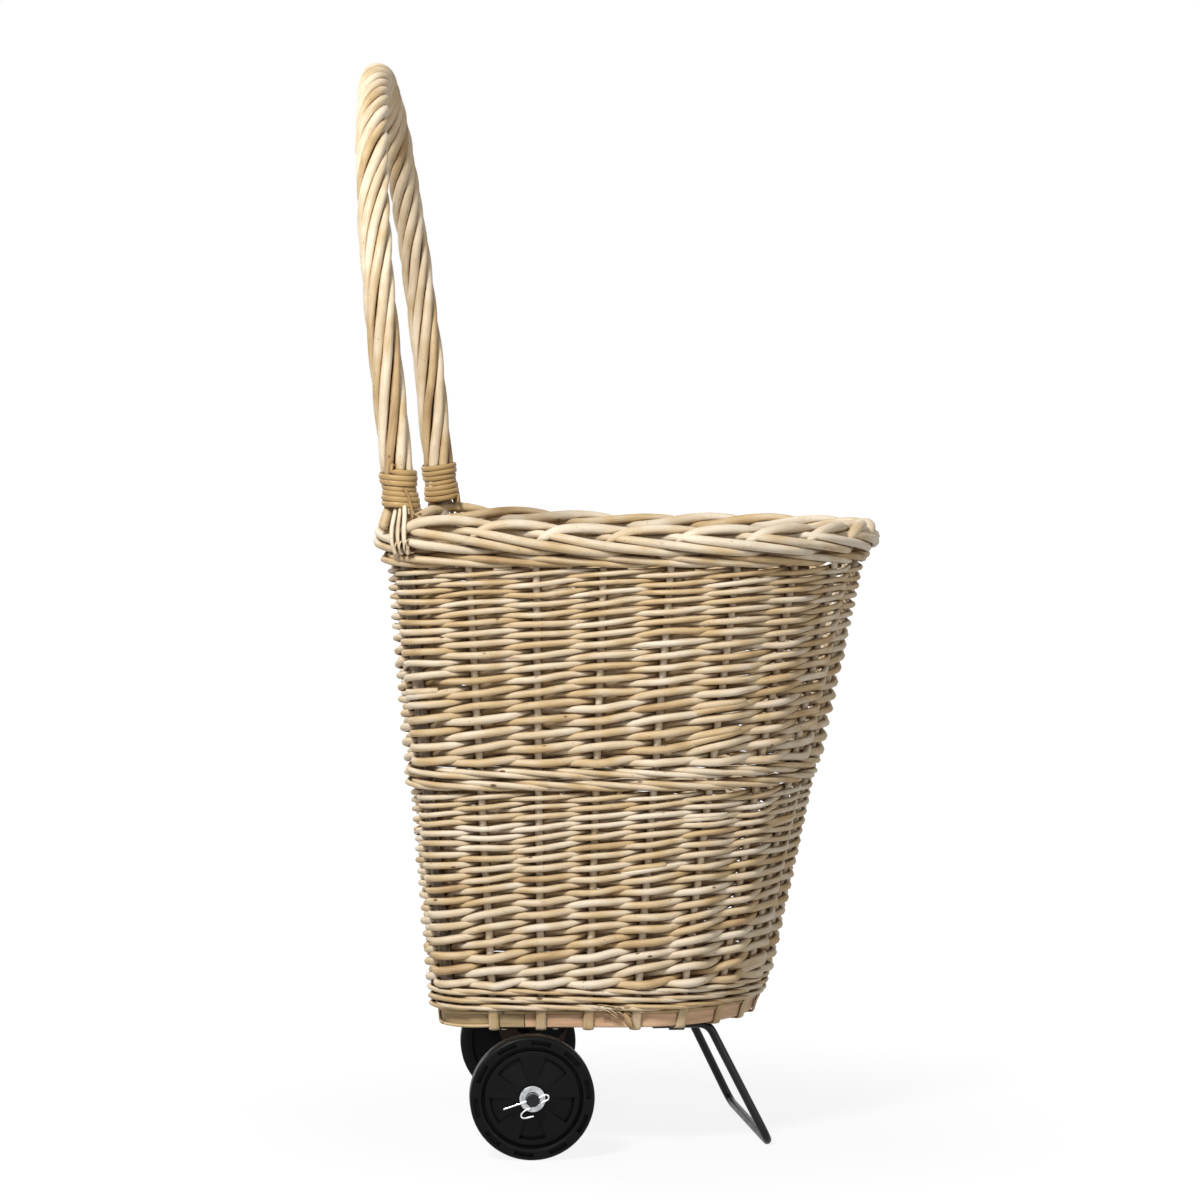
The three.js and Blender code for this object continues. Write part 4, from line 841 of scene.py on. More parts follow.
class LOGCART_OT_border(Operator):
    """Plait the border: each stake's end rolls over the top, runs down outside and tucks in"""
    bl_idname = "log_cart.border"
    bl_label = "Border"

    # gaps past its own upright, outwards and level of a border rod
    ROUTE = ((0.0, 0, 553), (0.03, 2.5, 566), (0.13, 6, 577), (0.36, 5.5, 585.8), (0.66, 3, 589.2),
             (0.96, -1, 589.2), (1.26, -5.5, 586.5), (1.58, -8, 582), (1.86, -5, 579.5), (2.08, 3, 579),
             (2.32, 9.5, 577.5), (2.7, 12.5, 573.5), (3.2, 13.3, 568.5), (3.65, 12.5, 563.8), (4.0, 9, 561),
             (4.35, 1, 560), (4.7, -7, 561), (5.2, -9.5, 565), (5.8, -10, 571))
    POINTS = 98  # steps along a rod
    # the border sinks by a share of its height above the seat, over this many gaps from each foot
    SEAT, SINK, SINK_GAPS = 553 * MM, 0.27, 3.5
    ASIDE, ASIDE_GAPS = 9 * MM, 0.6  # a rod at the handle's foot starts further out, and for how long

    def sunk(self, turn, level):
        """The level of a border rod, lower towards the front than at the handle's feet."""
        away = min(turn % UPRIGHTS, (LEFT_FOOT - turn) % UPRIGHTS, self.SINK_GAPS) / self.SINK_GAPS
        if turn % UPRIGHTS > LEFT_FOOT:
            away = 0
        return self.SEAT + (level - self.SEAT) * (1 - self.SINK * (1 - math.cos(math.pi * away)) / 2)

    def execute(self, context):
        sizes = context.scene.cart_sizes
        rng = random.Random(sizes.seed + 31)
        bundle = RodBundle(9, sizes.seed + 31)
        marks = [(place, out * MM, level * MM) for place, out, level in self.ROUTE]
        for rod in range(UPRIGHTS):
            aside = self.ASIDE if rod in (0, LEFT_FOOT) else 0
            rise, reach = wander(rng, 6, 1.1 * MM), wander(rng, 6, 0.8 * MM)
            radius = sizes.border_rod * rng.uniform(0.92, 1.08)
            path, radii = [], []
            for i in range(self.POINTS + 1):
                place = marks[-1][0] * i / self.POINTS
                out, level = through(marks, place)
                out += aside * max(0, 1 - place / self.ASIDE_GAPS)
                level = self.sunk(rod + place, level + rise(place))
                path.append(on_wall(rod + place, level, out + reach(place)))
                radii.append(radius * (1.02 - 0.05 * place))
            bundle.add(path, radii, rng.triangular(0.0, 0.55, 0.14))
        bundle.piece("border_plait", FINISHES["wale_willow"], "wale_willow", "border")
        return {"FINISHED"}


# ---------------------------------------------------------------- handle
BOW_FOOT, BORDER_TOP = 136.6 * MM, 594 * MM  # the bow follows the wall from the first to the second
HANDLE_SHOULDER, HANDLE_TOP = 760 * MM, 1002 * MM  # the bow stands straight up to its shoulder
HANDLE_LEAN = 0.103  # backwards, for each step up
SHOULDER_PULL, CROWN_PULL = 0.42, 0.46  # how full the curve is above the shoulder and at the crown
LEG_POINTS, CURVE_POINTS = 40, 60  # on each half of the bow before it is divided evenly
BOW_POINTS = 240  # even steps along the bow


def bow_line():
    """The bow's middle line from above the right foot to the left, in small even steps, and its length."""
    right = on_wall(0, BORDER_TOP)
    left = on_wall(LEFT_FOOT, BORDER_TOP)
    middle, half = (right + left) / 2, (left - right) / 2
    corners = ((1, HANDLE_SHOULDER), (1, mix(HANDLE_SHOULDER, HANDLE_TOP, SHOULDER_PULL)),
               (CROWN_PULL, HANDLE_TOP), (0, HANDLE_TOP))
    side = [(1, mix(BORDER_TOP, HANDLE_SHOULDER, i / LEG_POINTS)) for i in range(LEG_POINTS)]
    for i in range(CURVE_POINTS + 1):
        t = i / CURVE_POINTS
        weights = ((1 - t) ** 3, 3 * t * (1 - t) ** 2, 3 * t * t * (1 - t), t ** 3)
        side.append(tuple(sum(w * c[k] for w, c in zip(weights, corners)) for k in (0, 1)))
    across = [(-share, level) for share, level in side] + list(reversed(side[:-1]))
    dense = [Vector((middle.x + half.x * share,
                     middle.y + half.y * share + HANDLE_LEAN * (level - BORDER_TOP), level))
             for share, level in across]
    marks = [0.0]
    for a, b in zip(dense, dense[1:]):
        marks.append(marks[-1] + (b - a).length)
    line, place = [], 0
    for step in range(BOW_POINTS + 1):
        run = marks[-1] * step / BOW_POINTS
        while place < len(marks) - 2 and marks[place + 1] < run:
            place += 1
        share = (run - marks[place]) / (marks[place + 1] - marks[place])
        line.append(dense[place].lerp(dense[place + 1], share))
    return line, marks[-1]


def bow_frames(line):
    """For each point of the bow its direction and two square directions, carried along without twist."""
    frames = []
    side = Vector((1, 0, 0))
    for i in range(len(line)):
        along = (line[min(i + 1, len(line) - 1)] - line[max(i - 1, 0)]).normalized()
        side = (side - along * side.dot(along)).normalized()
        frames.append((along, side, along.cross(side)))
    return frames


class LOGCART_OT_handle(Operator):
    """Make the bark-covered bow and the willow rods laid round it in a twist"""
    bl_idname = "log_cart.handle"
    bl_label = "Handle"

    RODS = 7
    LAY_LOW, LAY_HIGH = math.radians(10), math.radians(41)  # the lay on the legs and at the crown
    LAY_GROWTH = 2.8  # how late the lay grows on the way up
    LAID = 10.6 * MM  # from the bow's middle to a rod's
    FOOT_POINTS = 30  # on each end of the bow, inside the wall
    WAVES, TINTS = 22, 13  # stretches of a rod that bend and shade on their own
    FOOT_SHADE, FOOT_SHARE = 0.22, 0.2  # how much darker the feet are, over this share of the bow

    def execute(self, context):
        sizes = context.scene.cart_sizes
        rng = random.Random(sizes.seed + 41)
        line, length = bow_line()
        frames = bow_frames(line)
        bow = RodBundle(12, 41)
        feet = [[on_wall(turn, mix(BOW_FOOT, BORDER_TOP, i / self.FOOT_POINTS))
                 for i in range(self.FOOT_POINTS)] for turn in (0, LEFT_FOOT)]
        path = feet[0] + line[1:-1:2] + list(reversed(feet[1]))
        swell = wander(rng, len(path), 0.04)
        radii = [POST_RADIUS * (0.97 + swell(i / 3)) for i in range(len(path))]
        bow.add(path, radii, 0.5)
        bow.piece("bow_stick", FINISHES["bow_bark"], "bow_bark", "handle_bow")

        turns = [0.0]
        for i in range(BOW_POINTS):
            along = min(i, BOW_POINTS - i) / BOW_POINTS
            lay = mix(self.LAY_LOW, self.LAY_HIGH, (2 * along) ** self.LAY_GROWTH)
            turns.append(turns[-1] + math.tan(lay) / self.LAID * length / BOW_POINTS)
        rods = RodBundle(9, 42)
        for rod in range(self.RODS):
            wobble, depth = wander(rng, self.WAVES + 2, 0.09), wander(rng, self.WAVES + 2, 0.5 * MM)
            thick = rng.uniform(0.9, 1.08)
            tone, tint = rng.triangular(0.0, 0.5, 0.1), wander(rng, self.TINTS + 1, 0.16)
            path, radii, shades = [], [], []
            taper = rng.uniform(-0.12, 0.12)
            for i in range(2, BOW_POINTS - 1):
                share = i / BOW_POINTS
                _, side, lift = frames[i]
                turn = 2 * math.pi * rod / self.RODS + turns[i] + wobble(share * self.WAVES)
                laid = self.LAID + depth(share * self.WAVES)
                path.append(line[i] + side * laid * math.cos(turn) + lift * laid * math.sin(turn))
                radii.append(sizes.handle_rod * thick * (1 + taper * (share - 0.5)))
                low_down = max(0, 1 - min(share, 1 - share) / self.FOOT_SHARE)
                shades.append(tone + tint(share * self.TINTS) + self.FOOT_SHADE * low_down)
            rods.add(path, radii, shades)
        nodes = [f"handle_rod_{n + 1}" for n in range(self.RODS)]
        rods.piece("handle_twist", FINISHES["handle_willow"], "handle_willow", *nodes)
        return {"FINISHED"}


class LOGCART_OT_bindings(Operator):
    """Wind the cane bindings and the small lashings at the handle's feet"""
    bl_idname = "log_cart.bindings"
    bl_label = "Bindings"

    TURNS, PITCH, REACH = 6.6, 5.0 * MM, 16.4 * MM
    START, TURN_STEPS = 2.2, 28  # the angle at which the winding starts, and steps in each turn
    LOW = 600 * MM  # the level at which it starts
    CANE = (2.7 * MM, 0.52)  # half width, and thickness as a share of it
    TILT, TILT_ANGLE = math.radians(7), 1.1  # how far a turn leans, and the angle of its high side
    STRAP = ((-17, 1.3), (-9, 1.38), (-1, 1.38), (8, 1.3), (16, 1.15))  # rise in mm and angle
    STRAP_REACH = 17.5 * MM
    # place, level, outwards and spread of a rod end that leaves the binding and runs down outside
    ROUTE = ((0, 606, 6, 0.6), (0.2, 598, 10.5, 0.75), (0.4, 589, 15.5, 0.9), (0.6, 579, 19.4, 1),
             (0.8, 569, 20.6, 1.02), (1, 558, 18, 1.05))
    ROUTE_STEPS = 24
    # mm beside the foot, radius, shade, mm inwards and points; the thick one ends at the border
    ENDS = ((5, 2.3, 0.05, 0, 25), (10.5, 2.0, 0.15, 0, 25), (15.5, 2.1, 0.0, 0, 25),
            (-6.5, 5.4, 0.42, 1.5, 14))
    GAP = 49  # mm between two uprights at the border
    # the lashing's turns, steps in each and way beside the foot, then its level, way out and half sizes
    LASH_TURNS, LASH_STEPS, LASH_WAY = 3, 24, (6.5, 14.5)
    LASH_LEVEL, LASH_OUT, LASH_HALF, LASH_DEPTH = 564.5, 14.5, 6, 8.2

    def leg_axes(self, turn):
        """Where a leg of the bow starts, and its ways up, outwards and ahead."""
        line, _ = bow_line()
        ends = (line[0], line[12]) if turn == 0 else (line[-1], line[-13])
        axis = (ends[1] - ends[0]).normalized()
        out = way_out(turn)
        out = (out - axis * out.dot(axis)).normalized()
        return ends[0], axis, out, axis.cross(out)

    def binding(self, turn, name, node, rng):
        """The cane wound round a leg, waisted in the middle, and a strap of it down across the turns."""
        base, axis, out, ahead = self.leg_axes(turn)
        low = self.LOW - base.z
        cane = RodBundle(10, 50 + turn)
        path = []
        steps = int(self.TURNS * self.TURN_STEPS)
        waver = wander(rng, 60, 0.35 * MM)
        for i in range(steps + 1):
            angle = 2 * math.pi * i / self.TURN_STEPS + self.START
            reach = self.REACH * (1 - 0.12 * math.sin(math.pi * i / steps) ** 8)
            lean = self.REACH * math.tan(self.TILT) * math.cos(angle - self.TILT_ANGLE)
            rise = low + self.PITCH * i / self.TURN_STEPS + lean
            spot = base + axis * (rise + waver(i / 5))
            path.append(spot + out * reach * math.cos(angle) - ahead * reach * math.sin(angle))
        tucked_low = path[0] - axis * 7 * MM - out * 2 * MM
        tucked_high = path[-1] + axis * 6 * MM - out * 3 * MM
        half, flat = self.CANE
        cane.add([tucked_low] + path + [tucked_high], half, 0.35, across=axis, flat=flat)
        side = -1 if turn == 0 else 1
        strap = []
        for rise, angle in self.STRAP:
            spot = base + axis * (low + rise * MM) + out * self.STRAP_REACH * math.cos(angle)
            strap.append(spot - ahead * side * self.STRAP_REACH * math.sin(angle))
        cane.add(strap, half * 0.8, 0.55, across=ahead, flat=flat)
        cane.piece(name, FINISHES["binding_cane"], "binding_cane", node)

    def strands(self, turn, name):
        """Rod ends that leave the binding: three run down outside the border, lashed together."""
        out = way_out(turn)
        forward = 1 if turn == 0 else -1
        ends = RodBundle(8, 60 + turn)
        for beside, radius, shade, inwards, count in self.ENDS:
            path = []
            for i in range(count):
                level, reach, spread = through(self.ROUTE, i / self.ROUTE_STEPS)
                spot = on_wall(turn + forward * beside * spread / self.GAP, level * MM)
                lean = HANDLE_LEAN * max(level * MM - BORDER_TOP, 0)
                path.append(spot + out * (reach - inwards) * MM + Vector((0, lean, 0)))
            ends.add(path, radius * MM, shade, across=out)
        ends.piece(f"{name}_ends", FINISHES["handle_willow"], "handle_willow")
        lash = RodBundle(7, 70 + turn)
        path = []
        steps = self.LASH_TURNS * self.LASH_STEPS
        for i in range(steps + 1):
            angle = 2 * math.pi * i / self.LASH_STEPS
            level = self.LASH_LEVEL + self.LASH_HALF * math.sin(angle)
            reach = self.LASH_OUT + self.LASH_DEPTH * math.cos(angle)
            beside = mix(*self.LASH_WAY, i / steps)
            path.append(on_wall(turn + forward * beside / self.GAP, level * MM, reach * MM))
        lash.add(path, 1.2 * MM, 0.35, across=out.cross(UP), flat=0.55)
        lash.piece(f"{name}_lashing", FINISHES["handle_willow"], "handle_willow")

    def execute(self, context):
        rng = random.Random(context.scene.cart_sizes.seed + 51)
        self.binding(0, "binding_right_cane", "binding_right", rng)
        self.binding(LEFT_FOOT, "binding_left_cane", "binding_left", rng)
        self.strands(0, "right_foot")
        self.strands(LEFT_FOOT, "left_foot")
        return {"FINISHED"}


# ---------------------------------------------------------------- running gear
AXLE_RADIUS, AXLE_END = 6 * MM, 9 * MM  # the axle goes on past the washer by the second
BORE = 6.4 * MM
HUB_IN, WHEEL_OUT = 33.65 * MM, 12 * MM  # from a wheel's middle in to its hub's end and out to its face
CLEARANCE = 0.35 * MM  # between pieces that turn past each other
WASHER_RADIUS, WASHER_THICK = 12 * MM, 2.5 * MM
WASHER_IN = WHEEL_OUT + CLEARANCE
WASHER_END = WASHER_IN + WASHER_THICK
CLIP_PLACE = WASHER_END + CLEARANCE + 1.25 * MM  # the clip's middle; its wire is 2.5 mm in the model
CLIP_ANGLE = math.radians(18)  # of the clip's straight leg above the floor


class Turned:
    """A frame on the axle: where it is, its way outwards, and ahead and up as seen from outside."""

    def __init__(self, centre, out):
        self.centre, self.out = Vector(centre), Vector(out).normalized()
        self.ahead = UP.cross(self.out)

    def at(self, radius, angle, depth):
        """A point at this radius and angle, this far out along the axle."""
        arm = self.ahead * math.cos(angle) + UP * math.sin(angle)
        return self.centre + arm * radius + self.out * depth


def axle_frame(side):
    """The frame of one wheel: side -1 is the right wheel, 1 the left."""
    joint = next(j for j in frame["joints"] if j["child"] == ("wheel_right" if side < 0 else "wheel_left"))
    return Turned(joint["pos_m"], Vector(joint["axis"]) * side)


def revolve(turned, profile, angles, name, finish, nodes, body="root", crease=35):
    """Turn a closed profile of (radius, depth) round the axle; a depth may depend on the angle."""
    points, faces = [], []
    for radius, depth in profile:
        for angle in angles:
            level = depth(angle) if callable(depth) else depth
            points.append(turned.at(radius, angle, level))
    across, rings = len(angles), len(profile)
    for i in range(rings):
        for k in range(across):
            here, there = i * across, (i + 1) % rings * across
            beside = (k + 1) % across
            faces.append((here + k, there + k, there + beside, here + beside))
    new_piece(name, points, faces, finish, nodes, body, crease=crease)


def evenly(count):
    """Angles spread round a circle."""
    return [2 * math.pi * k / count for k in range(count)]


class LOGCART_OT_wheels(Operator):
    """Mould the two wheels: slotted rim, stepped groove, five arms and the sunk fans between them"""
    bl_idname = "log_cart.wheels"
    bl_label = "Wheels"

    # pockets: how many, the middle of the first and half of one, in degrees
    SLOTS, FANS = (10, 9.0, 9.3), (5, 54.0, 18.5)
    WALL = 0.7  # degrees over which a pocket's side falls
    WIDEST = 4  # degrees between two angles, at the most

    def angles(self):
        """Angles round the wheel, with one at each edge of a pocket."""
        marks = set()
        for count, turn, half in (self.SLOTS, self.FANS):
            for i in range(count):
                middle = turn + 360 / count * i
                marks |= {middle + s * (half + w) for s in (-1, 1) for w in (0, self.WALL)}
        marks = sorted({round(mark % 360, 3) for mark in marks})
        filled = []
        for a, b in zip(marks, marks[1:] + [marks[0] + 360]):
            steps = max(1, math.ceil((b - a) / self.WIDEST))
            filled += [a + (b - a) * n / steps for n in range(steps)]
        return [math.radians(a) for a in filled]

    def pocket(self, pockets, flush, sunk):
        """A depth that is sunk inside each of these pockets and flush outside them."""
        count, turn, half = pockets

        def depth(angle):
            step = 360 / count
            off = abs((math.degrees(angle) - turn + step / 2) % step - step / 2)
            share = min(max((off - half) / self.WALL, 0), 1)
            return mix(sunk * MM, flush * MM, share)
        return depth

    def wheel(self, side, name):
        """Turn one wheel from its section, as radius and depth in mm: out over its face and back inside."""
        slot, fan = partial(self.pocket, self.SLOTS), partial(self.pocket, self.FANS)
        hub = HUB_IN / MM
        outer = [(6.4, 12), (12.4, 12), (12.9, 11.6), (13.3, 10.0), (15.5, 9.7), (17.5, fan(9.6, 9.2)),
                 (24, fan(9.4, 7.6)), (31, fan(9.1, 6.0)), (38.2, fan(8.8, 4.4)), (38.9, fan(8.8, 8.4)),
                 (42.6, 8.5), (43.6, 8.1), (44.2, 5.6), (45.6, 5.4), (46.1, 8.8), (47.0, 11.3),
                 (48.2, 11.9), (49.8, 12), (50.1, slot(12, 7.5)), (53.6, slot(12, 7.5)), (53.9, 12),
                 (55.2, 11.9), (56.4, 11.2), (57.2, 10.0), (57.5, 8.6)]
        inner = [(57.5, -8.6), (57.2, -10), (56.4, -11.2), (55, -12), (47, -12), (45.6, -11),
                 (44.8, -4.4), (43.5, -3.8), (14.2, -3.8), (13.2, -4.8), (13, -hub + 1), (12.4, -hub),
                 (6.4, -hub)]
        profile = [(r * MM, d if callable(d) else d * MM) for r, d in outer + inner]
        revolve(axle_frame(side), profile, self.angles(), f"{name}_moulding", FINISHES["wheel_plastic"],
                [name], body=name, crease=38)

    def execute(self, context):
        self.wheel(-1, "wheel_right")
        self.wheel(1, "wheel_left")
        return {"FINISHED"}


class LOGCART_OT_axle(Operator):
    """Turn the axle and its washers, bend the spring clips and finish the brackets and screws"""
    bl_idname = "log_cart.axle"
    bl_label = "Axle"

    SCREW_SIDES = 16
    SOFT, CHAMFER = 0.4 * MM, 1.0 * MM  # a washer's softened edge and the axle's chamfer
    CORE = 0.4 * MM  # how near to its middle the axle's section comes
    WIRE = 0.9 * MM
    # along the straight leg and across from it, in mm
    CLIP = ((-28, 0), (-20, 0), (-12, 0), (-4, 0), (4, 0), (9, 0), (12.6, 0.6), (14.6, -1.4), (13.6, -4.2),
            (10.6, -5.0), (6.6, -5.6), (2, -6.2), (-3, -6.8), (-7.5, -7.2), (-11, -7.8), (-14.2, -9.8),
            (-14.4, -12.6), (-11, -14.2), (-4, -14.8))

    def clip(self, side, name, node):
        """A hairpin clip: its straight leg goes through the axle, the bowed one springs round it."""
        wheel = axle_frame(side)
        centre = wheel.centre + wheel.out * CLIP_PLACE
        wire = RodBundle(10, 80)
        leg = wheel.ahead * math.cos(CLIP_ANGLE) + UP * math.sin(CLIP_ANGLE)
        side_way = wheel.out.cross(leg)
        if side_way.z < 0:
            side_way = -side_way
        path = []
        for i in range((len(self.CLIP) - 1) * 4 + 1):
            along, across = smooth_marks(self.CLIP, i / 4)
            path.append(centre + leg * along * MM + side_way * across * MM)
        wire.add(path, self.WIRE, 0.5, across=wheel.out)
        wire.piece(name, FINISHES["spring_wire"], "spring_wire", node)

    def screw(self, node):
        """A pan-head screw, turned upright from its section of radius, in mm, and level."""
        low, high = (Vector(corner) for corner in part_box(node))
        middle = (low + high) / 2
        head, seat, tip = low.z, low.z + 2 * MM, high.z
        profile = [(0.6, head + 0.5 * MM), (1.2, head), (2.6, head + 0.15 * MM), (3.7, head + 0.8 * MM),
                   (4.2, head + 1.6 * MM), (4.1, seat), (2.0, seat), (2.0, tip - 2 * MM), (0.4, tip)]
        sides, top = self.SCREW_SIDES, len(profile) - 1
        points, faces = [], []
        for radius, level in profile:
            for angle in evenly(sides):
                points.append((middle.x + radius * MM * math.cos(angle),
                               middle.y + radius * MM * math.sin(angle), level))
        for i in range(top):
            for k in range(sides):
                a, b = i * sides + k, i * sides + (k + 1) % sides
                faces.append((a, a + sides, b + sides, b))
        faces.append(tuple(range(sides)))
        faces.append(tuple(reversed([top * sides + k for k in range(sides)])))
        new_piece(f"{node}_pan", points, faces, FINISHES["zinc_steel"], [node], crease=40)

    def execute(self, context):
        right, left = axle_frame(-1), axle_frame(1)
        middle = Turned((right.centre + left.centre) / 2, left.out)
        half = (left.centre - right.centre).length / 2 + WASHER_END + AXLE_END
        chamfer, core = self.CHAMFER, self.CORE
        rod = [(core, half), (AXLE_RADIUS - chamfer, half), (AXLE_RADIUS, half - chamfer),
               (AXLE_RADIUS, chamfer - half), (AXLE_RADIUS - chamfer, -half), (core, -half)]
        revolve(middle, rod, evenly(36), "axle_rod", FINISHES["axle_steel"], ["axle"])
        start, end, radius, soft = WASHER_IN, WASHER_END, WASHER_RADIUS, self.SOFT
        ring = [(BORE, start + soft), (BORE + soft, start), (radius - soft, start), (radius, start + soft),
                (radius, end - soft), (radius - soft, end), (BORE + soft, end), (BORE, end - soft)]
        for turned, name in ((right, "washer_right"), (left, "washer_left")):
            revolve(turned, ring, evenly(40), f"{name}_plate", FINISHES["zinc_steel"], [name])
        self.clip(-1, "clip_right_wire", "axle_clip_right")
        self.clip(1, "clip_left_wire", "axle_clip_left")
        for name in ("axle_bracket_right", "axle_bracket_left"):
            finish_solid(name, "bracket_steel")
        for name in ("bracket_screw", "saddle_screw"):
            for n in range(1, 5):
                self.screw(f"{name}_{n}")
        return {"FINISHED"}


class LOGCART_OT_leg(Operator):
    """Bend the steel leg and finish its saddles"""
    bl_idname = "log_cart.leg"
    bl_label = "Leg"

    TOP_HALF, FOOT_HALF = 100 * MM, 120 * MM  # half the width under the board and at the foot
    SEAT_BACK, BEND_Y = -18 * MM, -70 * MM  # the rod lies under the board from the first to the second
    SEAT_LEVEL, ROD = 114.15 * MM, 4 * MM
    LEAN, BEND = math.radians(26.5), 16 * MM
    SKEW, TURN_Y = math.radians(7), -40 * MM  # the leg is off square, turned about here
    FLAT, LIFT = 0.5 * MM, 0.02 * MM  # worn off under the foot, and left above the floor
    BEND_STEPS = 10

    def execute(self, context):
        foot_level = self.ROD - self.FLAT
        foot_y = self.BEND_Y - (self.SEAT_LEVEL - foot_level) * math.tan(self.LEAN)
        half = [Vector((self.TOP_HALF, self.SEAT_BACK, self.SEAT_LEVEL)),
                Vector((self.TOP_HALF, self.BEND_Y, self.SEAT_LEVEL)),
                Vector((self.FOOT_HALF, foot_y, foot_level))]
        corners = [Vector((-p.x, p.y, p.z)) for p in half] + list(reversed(half))
        path = [corners[0]]
        for before, corner, after in zip(corners, corners[1:], corners[2:]):
            into, away = (before - corner).normalized(), (after - corner).normalized()
            back = self.BEND / math.tan(into.angle(away) / 2)
            start, end = corner + into * back, corner + away * back
            for i in range(self.BEND_STEPS + 1):
                t = i / self.BEND_STEPS
                path.append(start * (1 - t) ** 2 + corner * 2 * t * (1 - t) + end * t * t)
        path.append(corners[-1])
        turn = Matrix.Rotation(self.SKEW, 4, "Z")
        about = Vector((0, self.TURN_Y, 0))
        path = [turn @ (point - about) + about + PLACE for point in path]
        rod = RodBundle(16, 90)
        rod.add(path, self.ROD, 0.5)
        for point in rod.points:
            point.z = max(point.z, self.LIFT)
        rod.piece("leg_bar", FINISHES["leg_steel"], "leg_steel", "leg_rod")
        for name in ("leg_saddle_right", "leg_saddle_left"):
            finish_solid(name, "leg_steel")
        return {"FINISHED"}


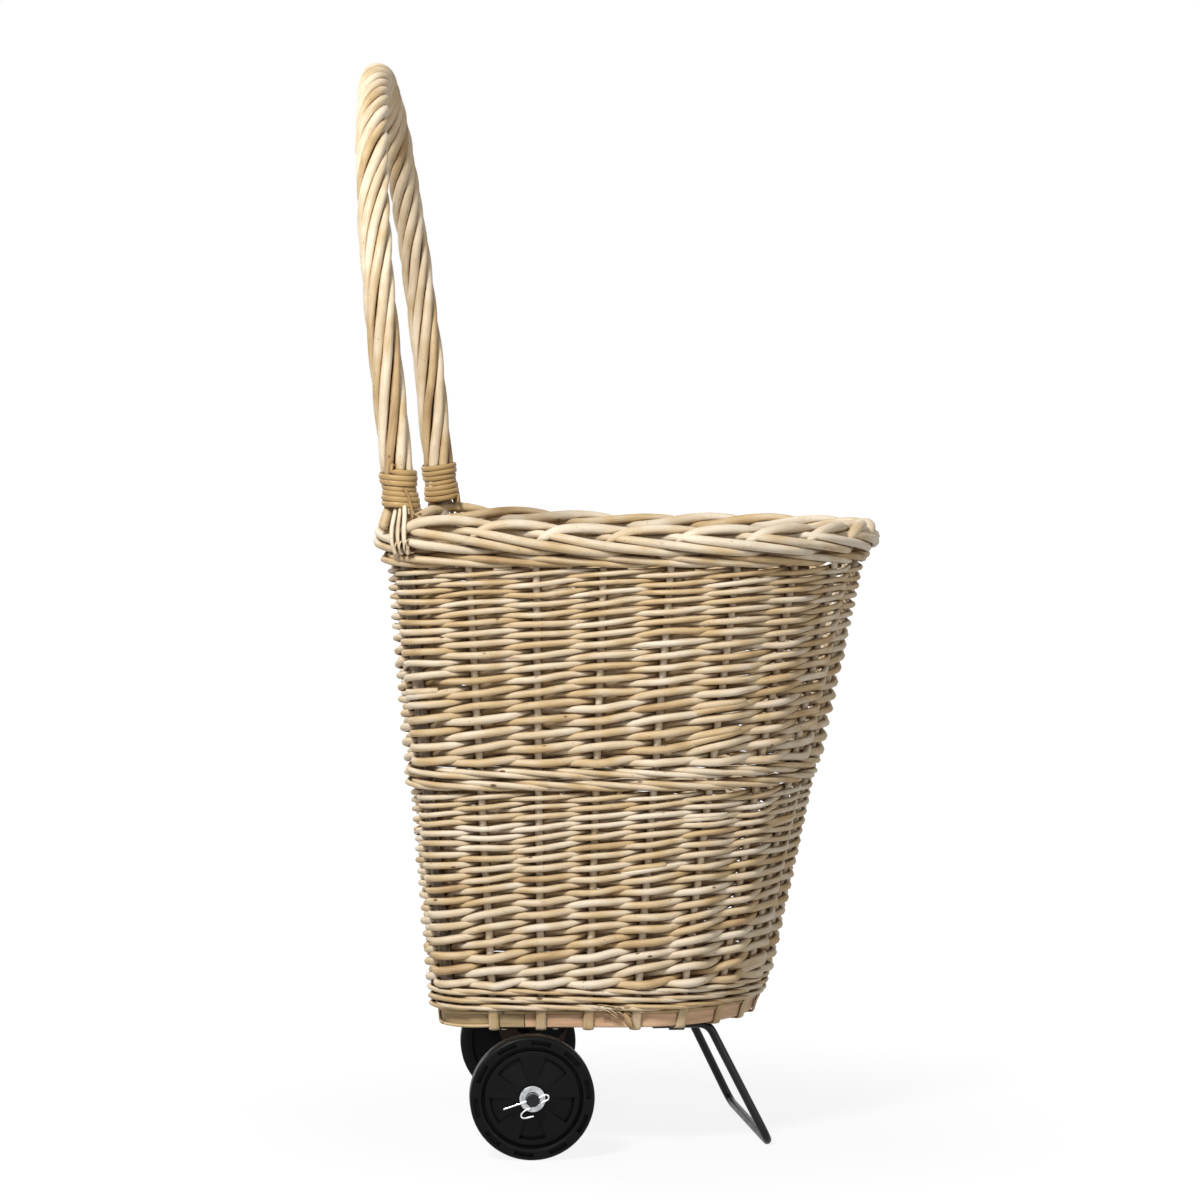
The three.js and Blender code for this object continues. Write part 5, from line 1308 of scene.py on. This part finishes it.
# ---------------------------------------------------------------- stage
class LOGCART_OT_stage(Operator):
    """Set the pale floor, the soft lights and the camera"""
    bl_idname = "log_cart.stage"
    bl_label = "Stage"

    CAMERA_AT = Vector((-4.056, 0.0216, 0.703))
    PITCH = math.radians(2.775)
    LENS = 127.55
    # each light's name, place, the height it aims at, its size and its share of the key light's power
    LIGHTS = (("key", (-2.7, 1.3, 3.0), 0.5, 0.8, 1), ("front", (-2.6, -2.2, 1.7), 0.5, 1.0, 0.16),
              ("rim", (1.6, 1.6, 1.6), 0.6, 1.2, 0.12))
    FLOOR_REACH = 30
    SHADOW_REACH = (0.25, 0.95)  # from the middle, the floor fades to plain white between these

    def light(self, name, place, aim, size, power):
        """A round soft light that shines on the cart's middle."""
        lamp = bpy.data.lights.new(name, "AREA")
        lamp.shape = "DISK"
        lamp.size = size
        lamp.energy = power
        obj = bpy.data.objects.new(name, lamp)
        obj.location = place
        obj.rotation_euler = (Vector((0, 0, aim)) - Vector(place)).to_track_quat("-Z", "Y").to_euler()
        bpy.context.scene.collection.objects.link(obj)

    def floor(self):
        """A floor that looks white to the camera and keeps a faint shadow near the cart."""
        reach = self.FLOOR_REACH
        mesh = bpy.data.meshes.new("studio_floor")
        mesh.from_pydata([(-reach, -reach, 0), (reach, -reach, 0), (reach, reach, 0), (-reach, reach, 0)],
                         [], [(0, 1, 2, 3)])
        obj = bpy.data.objects.new("studio_floor", mesh)
        bpy.context.scene.collection.objects.link(obj)
        finish = Finish("floor_paper", 0.9, specular=0.1)
        finish.shader.inputs["Base Color"].default_value = (0.5, 0.5, 0.5, 1)
        rays = finish.node("ShaderNodeLightPath").outputs
        white = finish.node("ShaderNodeEmission", {"Color": (1, 1, 1, 1), "Strength": 1.1})
        seen = finish.math("MAXIMUM", rays["Is Camera Ray"], rays["Is Glossy Ray"])
        seen = finish.math("MAXIMUM", seen, rays["Is Transmission Ray"])
        place = finish.stretched(finish.node("ShaderNodeNewGeometry").outputs["Position"], (1, 1, 0))
        away = finish.node("ShaderNodeVectorMath", {0: place}, operation="LENGTH").outputs["Value"]
        share = finish.math("MULTIPLY", seen, finish.between(away, *self.SHADOW_REACH, 0.8, 1))
        shaders = {1: finish.shader.outputs["BSDF"], 2: white.outputs["Emission"]}
        blend = finish.node("ShaderNodeMixShader", {0: share, **shaders})
        output = finish.tree.nodes["Material Output"]
        finish.tree.links.new(blend.outputs["Shader"], output.inputs["Surface"])
        mesh.materials.append(finish.material)

    def world(self, strength):
        """Even light from all round, which the camera sees as plain white."""
        world = bpy.data.worlds.new("studio")
        bpy.context.scene.world = world
        world.use_nodes = True
        tree = world.node_tree
        background = tree.nodes["Background"]
        background.inputs["Color"].default_value = (1, 1, 1, 1)
        rays = tree.nodes.new("ShaderNodeLightPath").outputs
        seen = rays["Is Camera Ray"]
        for name in ("Is Glossy Ray", "Is Transmission Ray"):
            either = tree.nodes.new("ShaderNodeMath")
            either.operation = "MAXIMUM"
            tree.links.new(seen, either.inputs[0])
            tree.links.new(rays[name], either.inputs[1])
            seen = either.outputs["Value"]
        level = tree.nodes.new("ShaderNodeMapRange")
        level.inputs["To Min"].default_value = strength
        level.inputs["To Max"].default_value = 1.0
        tree.links.new(seen, level.inputs["Value"])
        tree.links.new(level.outputs["Result"], background.inputs["Strength"])

    def execute(self, context):
        settings = context.scene.cart_stage
        camera = bpy.data.cameras.new("camera")
        camera.lens = self.LENS
        camera.clip_end = 100
        obj = bpy.data.objects.new("camera", camera)
        obj.location = self.CAMERA_AT
        obj.rotation_euler = (math.radians(90) - self.PITCH, 0, math.radians(-90))
        context.scene.collection.objects.link(obj)
        context.scene.camera = obj
        context.scene.view_settings.view_transform = "Standard"
        self.floor()
        self.world(settings.fill)
        for name, place, aim, size, share in self.LIGHTS:
            self.light(name, place, aim, size, settings.key * share)
        return {"FINISHED"}


class LOGCART_OT_finishes(Operator):
    """Mix the cart's materials from the chosen colours"""
    bl_idname = "log_cart.finishes"
    bl_label = "Finishes"

    def execute(self, context):
        make_finishes(context.scene.cart_colours)
        return {"FINISHED"}


STEPS = (LOGCART_OT_finishes, LOGCART_OT_base, LOGCART_OT_stakes, LOGCART_OT_weave, LOGCART_OT_wales,
         LOGCART_OT_border, LOGCART_OT_handle, LOGCART_OT_bindings, LOGCART_OT_wheels, LOGCART_OT_axle,
         LOGCART_OT_leg, LOGCART_OT_stage)


class LOGCART_PT_panel(Panel):
    """Sidebar panel with the cart's settings and its building steps"""
    bl_idname = "LOGCART_PT_panel"
    bl_label = "Log Cart"
    bl_space_type = "VIEW_3D"
    bl_region_type = "UI"
    bl_category = "Log Cart"

    def draw(self, context):
        for group in (context.scene.cart_colours, context.scene.cart_sizes, context.scene.cart_stage):
            box = self.layout.box()
            for name in group.bl_rna.properties.keys():
                if name not in ("rna_type", "name"):
                    box.prop(group, name)
        for step in STEPS:
            self.layout.operator(step.bl_idname)


CLASSES = (CartColours, CartSizes, StageSettings, *STEPS, LOGCART_PT_panel)


def register():
    for cls in CLASSES:
        bpy.utils.register_class(cls)
    bpy.types.Scene.cart_colours = PointerProperty(type=CartColours)
    bpy.types.Scene.cart_sizes = PointerProperty(type=CartSizes)
    bpy.types.Scene.cart_stage = PointerProperty(type=StageSettings)


def unregister():
    del bpy.types.Scene.cart_stage
    del bpy.types.Scene.cart_sizes
    del bpy.types.Scene.cart_colours
    for cls in reversed(CLASSES):
        bpy.utils.unregister_class(cls)


def main():
    """Build the cart and its stage."""
    register()
    for step in STEPS:
        group, name = step.bl_idname.split(".")
        getattr(getattr(bpy.ops, group), name)()


if __name__ == "__main__":
    main()
